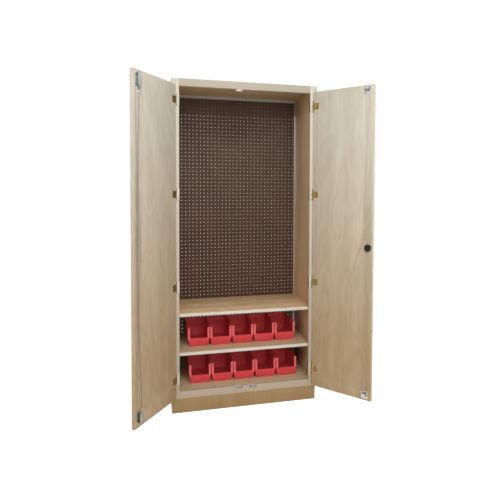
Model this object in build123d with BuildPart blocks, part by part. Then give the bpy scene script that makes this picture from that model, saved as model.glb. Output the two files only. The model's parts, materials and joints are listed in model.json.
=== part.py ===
"""Tool cabinet: a tall two-door wooden cabinet on a plinth, with a perforated back panel above a fixed
shelf and two rows of open-front bins below it. It is shown with both doors open.

The origin is on the floor at the centre of the carcass's footprint. +X runs to the right as seen from the
front, +Y to the back and +Z up. All lengths are in millimetres.
"""
from math import cos, radians, sin

from build123d import *
import os

os.makedirs("parts", exist_ok=True)

# Carcass and face frame
width = 914.4
height = 2032.0
depth = 457.2
panel = 19.05
frame_thickness = 19.05
stile_width = 44.45
top_rail_height = 44.45
bottom_rail_height = 44.45
plinth_height = 88.9
groove = 6.35

# Shelves
fixed_shelf_top = 606.4
lower_shelf_top = 365.1
shelf_thickness = 19.05
edge_band = 1.0
lower_shelf_end_gap = 0.8
pin_radius = 3.0
pin_socket_depth = 9.0
pin_reach = 9.0
pin_end_gap = 0.5
pin_from_shelf_edge = 40.0

# Back
board_thickness = 6.35
board_side_gap = 6.35
board_top_gap = 22.0
upper_back_rail_height = 114.3
lower_back_rail_height = 76.2

# Doors
left_door_angle = 123.7
right_door_angle = 128.0
door_thickness = 19.05
door_frame_gap = 1.5
door_meeting_gap = 3.0
door_top_lap = 6.35
door_bottom_rise = 6.35
lipping = 6.35
door_edge_radius = 1.0

# Hinges
axis_inset = 25.4
axis_stand_off = 5.0
axis_to_door_edge = 6.0
hinges_per_door = 4
lower_hinge_inset = 114.3
upper_hinge_inset = 92.1
knuckle_radius = 4.0
knuckle_length = 14.0
knuckle_gap = 0.15
leaf_thickness = 1.2
door_leaf_reach = 44.0
frame_leaf_depth = 17.6
hinge_pin_radius = 1.5
running_clearance = 0.05
pin_head_radius = 3.0
pin_head_height = 1.6

# Screws
leaf_screw_inset = 6.5
leaf_screw_step = 9.5
leaf_screw_spread = 12.5
stile_screw_spread = 22.0
stile_screw_depth = 8.5
screw_radius = 1.6
screw_head_radius = 3.2
screw_head_height = 1.6
screw_length = 13.0
pilot_clearance = 0.05

# Latches on the left door and catches on the right door
latch_from_free_edge = 42.3
latch_plate_width = 44.0
latch_plate_thickness = 1.2
latch_plate_corner = 5.0
latch_plate_inset = 9.0
latch_case_width = 27.0
latch_case_depth = 13.5
latch_case_corner = 11.0
upper_latch_height = 78.0
lower_latch_height = 58.0
latch_screw_spread = 17.8
latch_screw_inset = 5.5
upper_latch_drop = 6.55
lower_latch_rise = 2.5
bolt_tail = 6.0
bolt_width = 12.0
bolt_depth = 7.0
bolt_from_door = 5.0
bolt_stand_out = 2.0
bolt_travel = 10.0
slot_clearance = 0.2
catch_plate_height = 45.0
catch_case_height = 17.0
catch_screw_spread = 8.5
catch_screw_from_case = 6.5
upper_catch_drop = 3.55
lower_catch_plate_rise = 10.4
lower_catch_rise = 2.5
plunger_radius = 4.0
plunger_axis_from_door = 8.0
plunger_travel = 4.0
plunger_tip_radius = 1.5
plunger_length = 11.0
fitting_screw_head_radius = 4.0
fitting_screw_head_height = 1.8
strike_gap = 0.3

# Wire between the two latches, and its guides
wire_radius = 1.1
wire_from_door = 4.0
wire_bow_from_free_edge = 28.3
wire_bow_half_length = 260.0
wire_straight_end = 40.0
wire_end = 13.0
wire_bend_radius = 120.0
wire_guide_size = 7.0
wire_guide_gap = 0.1
upper_guide_offset = 6.0
upper_guide_drop = 22.0
lower_guide_offset = 18.0
lower_guide_rise = 5.15

# Strikes
strike_width = 40.0
strike_thickness = 1.2
strike_lip = 9.0
lower_strike_flange = 11.0
notch_width = 46.0
notch_depth = 14.6
notch_height = 16.2
mortise_clearance = 1.0
mortise_depth = bolt_travel
strike_screw_spread = 14.0
strike_screw_from_front = 15.2

# Lock
lock_from_free_edge = 26.3
lock_height = 1023.0
lock_case_radius = 21.5
lock_case_depth = 12.0
lock_ring_radius = 24.0
lock_ring_depth = 3.0
lock_barrel_radius = 9.5
lock_rose_radius = 14.0
lock_rose_depth = 2.5
lock_plug_radius = 6.0
key_slot_width = 2.2
key_slot_height = 7.5
key_slot_depth = 8.0
lock_bolt_height = 18.0
lock_bolt_depth = 4.0
lock_bolt_length = 24.0
lock_bolt_from_door = 4.0

# Pulls
pull_from_free_edge = 65.5
pull_height = 1035.0
pull_hole_spacing = 101.6
pull_radius = 4.0
pull_projection = 30.0
pull_bend = 10.0
pull_screw_radius = 2.0
pull_screw_head_radius = 4.8
pull_screw_head_height = 2.4
pull_screw_grip = 9.0

# Bins
bins_per_row = 5
bin_pitch = 142.2
bin_top_width = 139.7
bin_bottom_width = 118.0
bin_depth = 276.0
bin_height = 120.0
bin_wall = 2.2
bin_lip_height = 54.0
bin_front_lean = 12.0
bin_back_lean = 12.0
bin_upright_lean = 5.0
bin_rim_height = 7.0
bin_rim_width = 1.0
bin_opening_width = 110.0
bin_lip_roll = 5.0
bin_lip_roll_height = 7.0
bin_seat_gap = 0.3
upper_bins_from_front = 118.0
upper_bins_shift = 0.0
lower_bins_from_front = 99.0
lower_bins_shift = 6.5

# Planes and heights that several pieces share
half_width = width / 2
front = -depth / 2
back = depth / 2
frame_back = front + frame_thickness
side_face = half_width - panel
opening_side = half_width - stile_width
opening_bottom = plinth_height + bottom_rail_height
opening_top = height - top_rail_height
ceiling = height - panel
rail_front = back - panel
board_front = rail_front - board_thickness
bottom_panel_top = opening_bottom
axis_x = half_width - axis_inset
axis_y = front - axis_stand_off
inner_face = door_frame_gap - axis_stand_off
outer_face = inner_face + door_thickness
door_width = axis_x - axis_to_door_edge - door_meeting_gap / 2
door_free_edge = axis_to_door_edge + door_width
latch_from_axis = door_free_edge - latch_from_free_edge
wire_bow_from_axis = door_free_edge - wire_bow_from_free_edge
lock_from_axis = door_free_edge - lock_from_free_edge
pull_from_axis = door_free_edge - pull_from_free_edge
door_bottom = plinth_height + door_bottom_rise
door_top = opening_top + door_top_lap
door_height = door_top - door_bottom
door_middle = (door_top + door_bottom) / 2
hinge_step = (door_height - lower_hinge_inset - upper_hinge_inset) / (hinges_per_door - 1)
hinge_heights = [door_bottom + lower_hinge_inset + hinge_step * i for i in range(hinges_per_door)]
hinge_length = 5 * knuckle_length
door_leaf_height = 3 * knuckle_length
latch_x = axis_x - latch_from_axis
notch_floor = opening_bottom - notch_height
strike_floor = notch_floor + strike_thickness
strike_ceiling = opening_top - strike_thickness
door_angles = {-1: left_door_angle, 1: right_door_angle}
upper_latch_top = opening_top - upper_latch_drop
upper_latch_bottom = upper_latch_top - upper_latch_height
lower_latch_bottom = strike_floor + lower_latch_rise
lower_latch_top = lower_latch_bottom + lower_latch_height
upper_catch_top = opening_top - upper_catch_drop
upper_catch_case_bottom = upper_catch_top - catch_case_height
lower_catch_plate_bottom = door_bottom + lower_catch_plate_rise
lower_catch_case_bottom = strike_floor + lower_catch_rise
lower_catch_case_top = lower_catch_case_bottom + catch_case_height


def save(piece, name):
    """Label a finished piece and write it to its own file."""
    piece.part.label = name
    export_step(piece.part, f"parts/{name}.step")


def board(x_range, y_range, z_range):
    """Add a plain board between two corners, given as ranges along X, Y and Z."""
    with BuildSketch(Plane.XY.offset(z_range[0])) as outline:
        with Locations((sum(x_range) / 2, sum(y_range) / 2)):
            Rectangle(x_range[1] - x_range[0], y_range[1] - y_range[0])
    extrude(outline.sketch, amount=z_range[1] - z_range[0])


def cut_board(x_range, y_range, z_range):
    """Cut a box-shaped recess between two corners, given as ranges along X, Y and Z."""
    with BuildSketch(Plane.XY.offset(z_range[0])) as outline:
        with Locations((sum(x_range) / 2, sum(y_range) / 2)):
            Rectangle(x_range[1] - x_range[0], y_range[1] - y_range[0])
    extrude(outline.sketch, amount=z_range[1] - z_range[0], mode=Mode.SUBTRACT)


def door_plane(side, outward):
    """Plane parallel to an open door, its normal pointing out of the cabinet's closed front.

    The origin is on the hinge axis at floor level, local x runs from the hinge to the free edge, and
    local y runs up on the left door and down on the right one: rise(side) gives its sign.
    """
    angle = radians(door_angles[side])
    normal = Vector(side * sin(angle), -cos(angle), 0)
    origin = Vector(side * axis_x, axis_y, 0) + normal * outward
    return Plane(origin=origin, x_dir=(-side * cos(angle), -sin(angle), 0), z_dir=normal)


def rise(side):
    """Sign of local y on a door's plane for a height above the floor."""
    return -side


def door_block(side, along, heights, outward, corner=0.0, mode=Mode.ADD):
    """Add or cut a block on a door: ranges along the door, up, and outward from the hinge axis."""
    with BuildSketch(door_plane(side, outward[0])) as outline:
        with Locations((sum(along) / 2, rise(side) * sum(heights) / 2)):
            if corner:
                RectangleRounded(along[1] - along[0], heights[1] - heights[0], corner)
            else:
                Rectangle(along[1] - along[0], heights[1] - heights[0])
    extrude(outline.sketch, amount=outward[1] - outward[0], mode=mode)


def door_round(side, points, radius, outward, mode=Mode.ADD):
    """Add or cut cylinders square to a door at points given as along and height."""
    with BuildSketch(door_plane(side, outward[0])) as outline:
        with Locations(*[(along, rise(side) * height_up) for along, height_up in points]):
            Circle(radius)
    extrude(outline.sketch, amount=outward[1] - outward[0], mode=mode)


def door_screws(side, points, seat, head_radius, head_height):
    """Add screws on a door's back at points given as along and height, their heads inward of a seat."""
    door_round(side, points, head_radius, (seat - head_height, seat))
    door_round(side, points, screw_radius, (seat, seat + screw_length))


def hinge_screw_points():
    """Places of the screws in the door leaves of one door, as along and height."""
    points = []
    for middle in hinge_heights:
        points.append((door_leaf_reach - leaf_screw_inset, middle))
        for offset in (leaf_screw_spread, -leaf_screw_spread):
            points.append((door_leaf_reach - leaf_screw_inset - leaf_screw_step, middle + offset))
    return points


# Fittings on the back of the doors
plate_seat = inner_face - latch_plate_thickness
upper_plate = (upper_latch_bottom + latch_plate_inset, upper_latch_top - latch_plate_inset)
lower_plate = (lower_latch_bottom + latch_plate_inset, lower_latch_top - latch_plate_inset)
latch_screws = [
    (latch_from_axis + offset, middle)
    for offset in (latch_screw_spread, -latch_screw_spread)
    for plate in (upper_plate, lower_plate)
    for middle in (plate[0] + latch_screw_inset, plate[1] - latch_screw_inset)
]
upper_catch_screw_height = upper_catch_case_bottom - catch_screw_from_case
lower_catch_screw_height = lower_catch_case_top + catch_screw_from_case
catch_screws = [
    (latch_from_axis + offset, middle)
    for offset in (catch_screw_spread, -catch_screw_spread)
    for middle in (upper_catch_screw_height, lower_catch_screw_height)
]
pull_points = [
    (pull_from_axis, pull_height - pull_hole_spacing / 2),
    (pull_from_axis, pull_height + pull_hole_spacing / 2),
]

# Side panels, with grooves for the shelf and the bottom, and sockets for the lower shelf's pins
pin_places = [frame_back + pin_from_shelf_edge, board_front - pin_from_shelf_edge]
pin_height = lower_shelf_top - shelf_thickness - pin_radius
for side, name in ((-1, "left_side_panel"), (1, "right_side_panel")):
    faces = sorted((side * half_width, side * side_face))
    groove_range = sorted((side * side_face, side * (side_face + groove)))
    shelf_heights = (fixed_shelf_top - shelf_thickness, fixed_shelf_top)
    with BuildPart() as side_panel:
        board(faces, (frame_back, back), (0, height))
        cut_board(groove_range, (frame_back, board_front), shelf_heights)
        cut_board(groove_range, (frame_back, back), (bottom_panel_top - panel, bottom_panel_top))
        with BuildSketch(Plane.YZ.offset(side * side_face)) as sockets:
            with Locations(*[(place, pin_height) for place in pin_places]):
                Circle(pin_radius + pilot_clearance)
        extrude(sockets.sketch, amount=side * pin_socket_depth, mode=Mode.SUBTRACT)
    save(side_panel, name)

with BuildPart() as top_panel:
    board((-side_face, side_face), (frame_back, back), (ceiling, height))
save(top_panel, "top_panel")

with BuildPart() as bottom_panel:
    board(
        (-side_face - groove, side_face + groove),
        (frame_back, back),
        (bottom_panel_top - panel, bottom_panel_top),
    )
save(bottom_panel, "bottom_panel")

# Shelves and their pale front edges
with BuildPart() as fixed_shelf:
    board(
        (-side_face - groove, side_face + groove),
        (frame_back + edge_band, board_front),
        (fixed_shelf_top - shelf_thickness, fixed_shelf_top),
    )
save(fixed_shelf, "fixed_shelf")

with BuildPart() as lower_shelf:
    board(
        (-side_face + lower_shelf_end_gap, side_face - lower_shelf_end_gap),
        (frame_back + edge_band, board_front),
        (lower_shelf_top - shelf_thickness, lower_shelf_top),
    )
save(lower_shelf, "lower_shelf")

with BuildPart() as shelf_edge_bands:
    for shelf_top in (fixed_shelf_top, lower_shelf_top):
        board(
            (-side_face + lower_shelf_end_gap, side_face - lower_shelf_end_gap),
            (frame_back, frame_back + edge_band),
            (shelf_top - shelf_thickness, shelf_top),
        )
save(shelf_edge_bands, "shelf_edge_bands")

with BuildPart() as shelf_pins:
    for side in (-1, 1):
        with BuildSketch(Plane.YZ.offset(side * (side_face - pin_reach))) as pin_section:
            with Locations(*[(place, pin_height) for place in pin_places]):
                Circle(pin_radius)
        extrude(pin_section.sketch, amount=side * (pin_reach + pin_socket_depth - pin_end_gap))
save(shelf_pins, "shelf_pins")

# Back: the perforated panel and the rails that it is fixed to
with BuildPart() as pegboard:
    board(
        (-side_face + board_side_gap, side_face - board_side_gap),
        (board_front, rail_front),
        (bottom_panel_top, ceiling - board_top_gap),
    )
save(pegboard, "pegboard")

with BuildPart() as upper_back_rail:
    board((-side_face, side_face), (rail_front, back), (ceiling - upper_back_rail_height, ceiling))
save(upper_back_rail, "upper_back_rail")

with BuildPart() as lower_back_rail:
    board(
        (-side_face, side_face),
        (rail_front, back),
        (bottom_panel_top, bottom_panel_top + lower_back_rail_height),
    )
save(lower_back_rail, "lower_back_rail")

# Face frame
hinge_stile_points = []
for middle in hinge_heights:
    hinge_stile_points.append((front + stile_screw_depth, middle + stile_screw_spread))
    hinge_stile_points.append((front + stile_screw_depth, middle - stile_screw_spread))
for side, name in ((-1, "left_stile"), (1, "right_stile")):
    with BuildPart() as stile:
        board(sorted((side * half_width, side * opening_side)), (front, frame_back), (plinth_height, height))
        with BuildSketch(Plane.YZ.offset(side * opening_side)) as pilots:
            with Locations(*hinge_stile_points):
                Circle(screw_radius + pilot_clearance)
        extrude(pilots.sketch, amount=side * (screw_length + 1), mode=Mode.SUBTRACT)
    save(stile, name)

# Bolt places on the closed doors, measured from the front of the frame
bolt_near = front - door_frame_gap + bolt_from_door
bolt_far = bolt_near + bolt_depth
mortise_y = (bolt_near - mortise_clearance, bolt_far + mortise_clearance)
mortise_x = (-latch_x - bolt_width / 2 - mortise_clearance, -latch_x + bolt_width / 2 + mortise_clearance)
strike_centres = [-latch_x, latch_x]
upper_strike_screws = [
    (centre + offset, front + strike_screw_from_front)
    for centre in strike_centres
    for offset in (-strike_screw_spread, strike_screw_spread)
]
plunger_y = front - door_frame_gap + plunger_axis_from_door
dimple_radius = plunger_radius - 1.0

with BuildPart() as top_rail:
    board((-opening_side, opening_side), (front, frame_back), (opening_top, height))
    cut_board(mortise_x, mortise_y, (opening_top, opening_top + mortise_depth))
    with BuildSketch(Plane.XY.offset(opening_top)) as dimple:
        with Locations((latch_x, plunger_y)):
            Circle(dimple_radius)
    extrude(dimple.sketch, amount=mortise_depth / 2, mode=Mode.SUBTRACT)
    with BuildSketch(Plane.XY.offset(opening_top)) as rail_pilots:
        with Locations(*upper_strike_screws):
            Circle(screw_radius + pilot_clearance)
    extrude(rail_pilots.sketch, amount=screw_length + 1, mode=Mode.SUBTRACT)
save(top_rail, "top_rail")

with BuildPart() as bottom_rail:
    board((-opening_side, opening_side), (front, frame_back), (plinth_height, opening_bottom))
    for centre in strike_centres:
        notch_x = (centre - notch_width / 2, centre + notch_width / 2)
        cut_board(notch_x, (front, front + notch_depth), (notch_floor, opening_bottom))
    cut_board(mortise_x, mortise_y, (notch_floor - mortise_depth, notch_floor))
save(bottom_rail, "bottom_rail")

# Plinth
with BuildPart() as plinth_front:
    board((-half_width, half_width), (front, frame_back), (0, plinth_height))
save(plinth_front, "plinth_front")

with BuildPart() as plinth_back:
    board((-side_face, side_face), (rail_front, back), (0, bottom_panel_top - panel))
save(plinth_back, "plinth_back")

with BuildPart() as plinth_centre:
    board((-panel / 2, panel / 2), (frame_back, rail_front), (0, bottom_panel_top - panel))
save(plinth_centre, "plinth_centre")

# Strikes: a bent plate over the left latch, a flat plate over the right catch, and bent plates in the notches
with BuildPart() as upper_strikes:
    for centre in strike_centres:
        strike_x = (centre - strike_width / 2, centre + strike_width / 2)
        board(strike_x, (front, frame_back), (strike_ceiling, opening_top))
    lip_x = (-latch_x - strike_width / 2, -latch_x + strike_width / 2)
    board(lip_x, (frame_back, frame_back + strike_thickness), (opening_top - strike_lip, opening_top))
    cut_board(mortise_x, mortise_y, (strike_ceiling, opening_top))
    with BuildSketch(Plane.XY.offset(strike_ceiling)) as strike_holes:
        with Locations((latch_x, plunger_y)):
            Circle(dimple_radius)
        with Locations(*upper_strike_screws):
            Circle(screw_radius + pilot_clearance)
    extrude(strike_holes.sketch, amount=strike_thickness, mode=Mode.SUBTRACT)
save(upper_strikes, "upper_strikes")

with BuildPart() as lower_strikes:
    for centre in strike_centres:
        strike_x = (centre - strike_width / 2, centre + strike_width / 2)
        flange_front = front + notch_depth - strike_thickness
        board(strike_x, (front, front + notch_depth), (notch_floor, strike_floor))
        board(strike_x, (flange_front, front + notch_depth), (notch_floor, notch_floor + lower_strike_flange))
    cut_board(mortise_x, mortise_y, (notch_floor, strike_floor))
save(lower_strikes, "lower_strikes")

# Hinges: the frame leaf wraps round the stile's inner corner, and the door leaf lies in the door's back
knuckle_bore = hinge_pin_radius + running_clearance
with BuildPart() as frame_hinge_leaves:
    for side in (-1, 1):
        front_x = sorted((side * (axis_x + leaf_thickness), side * (opening_side - leaf_thickness)))
        edge_x = sorted((side * opening_side, side * (opening_side - leaf_thickness)))
        relief_x = sorted((side * (axis_x + 2 * knuckle_radius), side * (axis_x - knuckle_radius - 0.5)))
        for middle in hinge_heights:
            foot = middle - hinge_length / 2
            board(front_x, (front - leaf_thickness, front), (foot, foot + hinge_length))
            board(edge_x, (front - leaf_thickness, front + frame_leaf_depth), (foot, foot + hinge_length))
            for number in (1, 3):
                step = foot + number * knuckle_length
                cut_board(relief_x, (front - 2 * leaf_thickness, front), (step, step + knuckle_length))
            for number in (0, 2, 4):
                step = foot + number * knuckle_length
                with BuildSketch(Plane.XY.offset(step)) as knuckle:
                    with Locations((side * axis_x, axis_y)):
                        Circle(knuckle_radius)
                extrude(knuckle.sketch, amount=knuckle_length)
            with BuildSketch(Plane.XY.offset(foot)) as bore:
                with Locations((side * axis_x, axis_y)):
                    Circle(knuckle_bore)
            extrude(bore.sketch, amount=hinge_length, mode=Mode.SUBTRACT)
        with BuildSketch(Plane.YZ.offset(side * (opening_side - leaf_thickness))) as leaf_holes:
            with Locations(*hinge_stile_points):
                Circle(screw_radius + pilot_clearance)
        extrude(leaf_holes.sketch, amount=side * leaf_thickness, mode=Mode.SUBTRACT)
save(frame_hinge_leaves, "frame_hinge_leaves")

with BuildPart() as hinge_pins:
    for side in (-1, 1):
        for middle in hinge_heights:
            foot = middle - hinge_length / 2
            for start, length, radius in (
                (foot - pin_head_height, pin_head_height, pin_head_radius),
                (foot, hinge_length, hinge_pin_radius),
                (foot + hinge_length, pin_head_height, pin_head_radius),
            ):
                with BuildSketch(Plane.XY.offset(start)) as pin_section:
                    with Locations((side * axis_x, axis_y)):
                        Circle(radius)
                extrude(pin_section.sketch, amount=length)
save(hinge_pins, "hinge_pins")

with BuildPart() as frame_screws:
    for side in (-1, 1):
        seat = side * (opening_side - leaf_thickness)
        with BuildSketch(Plane.YZ.offset(seat)) as heads:
            with Locations(*hinge_stile_points):
                Circle(screw_head_radius)
        extrude(heads.sketch, amount=-side * screw_head_height)
        with BuildSketch(Plane.YZ.offset(seat)) as shanks:
            with Locations(*hinge_stile_points):
                Circle(screw_radius)
        extrude(shanks.sketch, amount=side * screw_length)
    with BuildSketch(Plane.XY.offset(strike_ceiling)) as strike_heads:
        with Locations(*upper_strike_screws):
            Circle(screw_head_radius)
    extrude(strike_heads.sketch, amount=-screw_head_height)
    with BuildSketch(Plane.XY.offset(strike_ceiling)) as strike_shanks:
        with Locations(*upper_strike_screws):
            Circle(screw_radius)
    extrude(strike_shanks.sketch, amount=screw_length)
save(frame_screws, "frame_screws")

# Doors: a panel with a lipping on each edge, pockets for the leaves, and holes for the screws
fitting_screws = {-1: latch_screws, 1: catch_screws}
panel_along = (axis_to_door_edge + lipping, door_free_edge - lipping)
panel_heights = (door_bottom + lipping, door_top - lipping)


def door_cuts(side):
    """Cut the leaf pockets and the screw holes into whatever part of a door is being built."""
    for middle in hinge_heights:
        pocket = (middle - door_leaf_height / 2, middle + door_leaf_height / 2)
        door_block(
            side,
            (axis_to_door_edge - 1, door_leaf_reach),
            pocket,
            (inner_face, inner_face + leaf_thickness),
            mode=Mode.SUBTRACT,
        )
    pilot = screw_radius + pilot_clearance
    points = hinge_screw_points() + fitting_screws[side]
    door_round(side, points, pilot, (inner_face, inner_face + screw_length + 1), mode=Mode.SUBTRACT)
    pull_hole = pull_screw_radius + pilot_clearance
    door_round(side, pull_points, pull_hole, (inner_face, outer_face), mode=Mode.SUBTRACT)
    if side == 1:
        lock_centre = [(lock_from_axis, lock_height)]
        barrel_hole = lock_barrel_radius + pilot_clearance
        door_round(side, lock_centre, barrel_hole, (inner_face, outer_face), mode=Mode.SUBTRACT)


for side, word in ((-1, "left"), (1, "right")):
    with BuildPart() as door_panel:
        door_block(side, panel_along, panel_heights, (inner_face, outer_face))
        door_cuts(side)
    save(door_panel, f"{word}_door_panel")

    with BuildPart() as door_lipping:
        door_block(
            side,
            (axis_to_door_edge, door_free_edge),
            (door_bottom, door_top),
            (inner_face, outer_face),
        )
        outward = door_plane(side, 0).z_dir
        outer_rim = door_lipping.faces().sort_by(Axis((0, 0, 0), outward))[-1]
        fillet(outer_rim.edges(), door_edge_radius)
        door_block(side, panel_along, panel_heights, (inner_face, outer_face), mode=Mode.SUBTRACT)
        for middle in hinge_heights:
            pocket = (middle - door_leaf_height / 2, middle + door_leaf_height / 2)
            along = (axis_to_door_edge - 1, door_leaf_reach)
            door_block(side, along, pocket, (inner_face, inner_face + leaf_thickness), mode=Mode.SUBTRACT)
    save(door_lipping, f"{word}_door_lipping")

    leaf_out = (inner_face, inner_face + leaf_thickness)
    relief_along = (-knuckle_radius, knuckle_radius + 0.5)
    with BuildPart() as door_leaves:
        for middle in hinge_heights:
            foot = middle - door_leaf_height / 2
            door_block(side, (0, door_leaf_reach), (foot, foot + door_leaf_height), leaf_out)
            relief = (foot + knuckle_length - knuckle_gap, foot + 2 * knuckle_length + knuckle_gap)
            door_block(side, relief_along, relief, leaf_out, mode=Mode.SUBTRACT)
            for number in (0, 2):
                step = foot + number * knuckle_length
                trim = (step, step + knuckle_gap)
                door_block(side, relief_along, trim, leaf_out, mode=Mode.SUBTRACT)
                trim = (step + knuckle_length - knuckle_gap, step + knuckle_length)
                door_block(side, relief_along, trim, leaf_out, mode=Mode.SUBTRACT)
                with BuildSketch(Plane.XY.offset(step + knuckle_gap)) as knuckle:
                    with Locations((side * axis_x, axis_y)):
                        Circle(knuckle_radius)
                extrude(knuckle.sketch, amount=knuckle_length - 2 * knuckle_gap)
            with BuildSketch(Plane.XY.offset(foot)) as bore:
                with Locations((side * axis_x, axis_y)):
                    Circle(knuckle_bore)
            extrude(bore.sketch, amount=door_leaf_height, mode=Mode.SUBTRACT)
        hole = screw_radius + pilot_clearance
        door_round(side, hinge_screw_points(), hole, leaf_out, mode=Mode.SUBTRACT)
    save(door_leaves, f"{word}_door_hinge_leaves")

    with BuildPart() as door_screw_set:
        door_screws(side, hinge_screw_points(), inner_face, screw_head_radius, screw_head_height)
        door_screws(
            side, fitting_screws[side], plate_seat, fitting_screw_head_radius, fitting_screw_head_height
        )
    save(door_screw_set, f"{word}_door_screws")

    pull_foot = outer_face
    pull_centre = Vector(pull_from_axis, rise(side) * pull_height)
    pull_path_plane = Plane(
        origin=door_plane(side, pull_foot).from_local_coords(pull_centre),
        x_dir=door_plane(side, 0).z_dir,
        z_dir=door_plane(side, 0).x_dir,
    )
    with BuildPart() as pull:
        with BuildLine(pull_path_plane) as pull_path:
            FilletPolyline(
                (0, -pull_hole_spacing / 2),
                (pull_projection - pull_radius, -pull_hole_spacing / 2),
                (pull_projection - pull_radius, pull_hole_spacing / 2),
                (0, pull_hole_spacing / 2),
                radius=pull_bend,
            )
        first_foot = pull_height - pull_path_plane.y_dir.Z * pull_hole_spacing / 2
        with BuildSketch(door_plane(side, pull_foot)) as pull_section:
            with Locations((pull_from_axis, rise(side) * first_foot)):
                Circle(pull_radius)
        sweep(sections=pull_section.sketch, path=pull_path.line)
        thread = pull_screw_radius + running_clearance
        door_round(side, pull_points, thread, (pull_foot, pull_foot + pull_screw_grip), mode=Mode.SUBTRACT)
    save(pull, f"{word}_pull")

    with BuildPart() as pull_screws:
        head = (inner_face - pull_screw_head_height, inner_face)
        door_round(side, pull_points, pull_screw_head_radius, head)
        door_round(side, pull_points, pull_screw_radius, (inner_face, pull_foot + pull_screw_grip - 1))
    save(pull_screws, f"{word}_pull_screws")

# Latches on the left door. The bolts slide up and down in their cases, and a wire joins their tails
case_along = (latch_from_axis - latch_case_width / 2, latch_from_axis + latch_case_width / 2)
plate_along = (latch_from_axis - latch_plate_width / 2, latch_from_axis + latch_plate_width / 2)
bolt_along = (latch_from_axis - bolt_width / 2, latch_from_axis + bolt_width / 2)
bolt_out = (inner_face - bolt_from_door - bolt_depth, inner_face - bolt_from_door)
slot_along = (bolt_along[0] - slot_clearance, bolt_along[1] + slot_clearance)
slot_out = (bolt_out[0] - slot_clearance, bolt_out[1] + slot_clearance)
screw_hole = screw_radius + pilot_clearance
plate_out = (plate_seat, inner_face)
case_out = (inner_face - latch_case_depth, plate_seat)


def fitting_case(side, plate_heights, case_heights, case_corner, screw_points):
    """Build a fitting's back plate with its raised case and the holes for its screws."""
    door_block(side, plate_along, plate_heights, plate_out, corner=latch_plate_corner)
    door_block(side, case_along, case_heights, case_out, corner=case_corner)
    door_round(side, screw_points, screw_hole, plate_out, mode=Mode.SUBTRACT)


upper_case = (upper_latch_bottom, upper_latch_top)
lower_case = (lower_latch_bottom, lower_latch_top)
for name, plate, case in (
    ("upper_latch_case", upper_plate, upper_case),
    ("lower_latch_case", lower_plate, lower_case),
):
    with BuildPart() as latch:
        fitting_case(-1, plate, case, latch_case_corner, latch_screws)
        door_block(-1, slot_along, case, slot_out, mode=Mode.SUBTRACT)
    save(latch, name)

with BuildPart() as upper_latch_bolt:
    door_block(-1, bolt_along, (upper_latch_bottom - bolt_tail, upper_latch_top + bolt_stand_out), bolt_out)
save(upper_latch_bolt, "upper_latch_bolt")

with BuildPart() as lower_latch_bolt:
    door_block(-1, bolt_along, (lower_latch_bottom - bolt_stand_out, lower_latch_top + bolt_tail), bolt_out)
save(lower_latch_bolt, "lower_latch_bolt")

# The wire hangs in a shallow bow between two guides, each a small block on the door's back
upper_guide = (latch_from_axis - upper_guide_offset, upper_latch_bottom - upper_guide_drop)
lower_guide = (latch_from_axis - lower_guide_offset, lower_latch_top + lower_guide_rise)
wire_out = inner_face - wire_from_door
with BuildPart() as latch_wire:
    wire_plane = door_plane(-1, wire_out)
    wire_points = [
        (upper_guide[0], upper_guide[1] + wire_end),
        (upper_guide[0], upper_guide[1] - wire_straight_end),
        (wire_bow_from_axis, door_middle + wire_bow_half_length),
        (wire_bow_from_axis, door_middle - wire_bow_half_length),
        (lower_guide[0], lower_guide[1] + wire_straight_end),
        (lower_guide[0], lower_guide[1] - wire_end),
    ]
    with BuildLine(wire_plane) as wire_path:
        FilletPolyline(*wire_points, radius=wire_bend_radius)
    with BuildSketch(Plane.XY.offset(wire_points[0][1])) as wire_section:
        with Locations(wire_plane.from_local_coords(Vector(*wire_points[0]))):
            Circle(wire_radius)
    sweep(sections=wire_section.sketch, path=wire_path.line)
save(latch_wire, "latch_wire")

with BuildPart() as wire_guides:
    for along, middle in (upper_guide, lower_guide):
        span = (along - wire_guide_size / 2, along + wire_guide_size / 2)
        door_block(
            -1,
            span,
            (middle - wire_guide_size / 2, middle + wire_guide_size / 2),
            (wire_out - wire_guide_size / 2, inner_face),
        )
        tunnel_radius = wire_radius + wire_guide_gap
        tunnel = (along - tunnel_radius, along + tunnel_radius)
        door_block(
            -1,
            tunnel,
            (middle - wire_guide_size, middle + wire_guide_size),
            (wire_out - tunnel_radius, wire_out + tunnel_radius),
            mode=Mode.SUBTRACT,
        )
save(wire_guides, "wire_guides")

# Catches on the right door: sprung plungers that bear on the strikes
upper_catch_plate = (upper_catch_top - catch_plate_height, upper_catch_top)
upper_catch_heights = (upper_catch_case_bottom, upper_catch_top)
lower_catch_plate = (lower_catch_plate_bottom, lower_catch_plate_bottom + catch_plate_height)
lower_catch_heights = (lower_catch_case_bottom, lower_catch_case_top)
plunger_bore = plunger_length + plunger_travel
plunger_out = inner_face - plunger_axis_from_door


def plunger(side, start, end):
    """Add an upright pin of the plunger's radius between two heights."""
    place = door_plane(side, plunger_out).from_local_coords(Vector(latch_from_axis, 0))
    with BuildSketch(Plane.XY.offset(start)) as section:
        with Locations((place.X, place.Y)):
            Circle(plunger_radius)
    extrude(section.sketch, amount=end - start)


def plunger_hole(side, start, end):
    """Cut the bore that a plunger slides in, with running clearance, between two heights."""
    place = door_plane(side, plunger_out).from_local_coords(Vector(latch_from_axis, 0))
    with BuildSketch(Plane.XY.offset(start)) as section:
        with Locations((place.X, place.Y)):
            Circle(plunger_radius + running_clearance)
    extrude(section.sketch, amount=end - start, mode=Mode.SUBTRACT)


with BuildPart() as upper_catch_case:
    fitting_case(1, upper_catch_plate, upper_catch_heights, 0, catch_screws)
    plunger_hole(1, upper_catch_top - plunger_bore, upper_catch_top)
save(upper_catch_case, "upper_catch_case")

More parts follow.
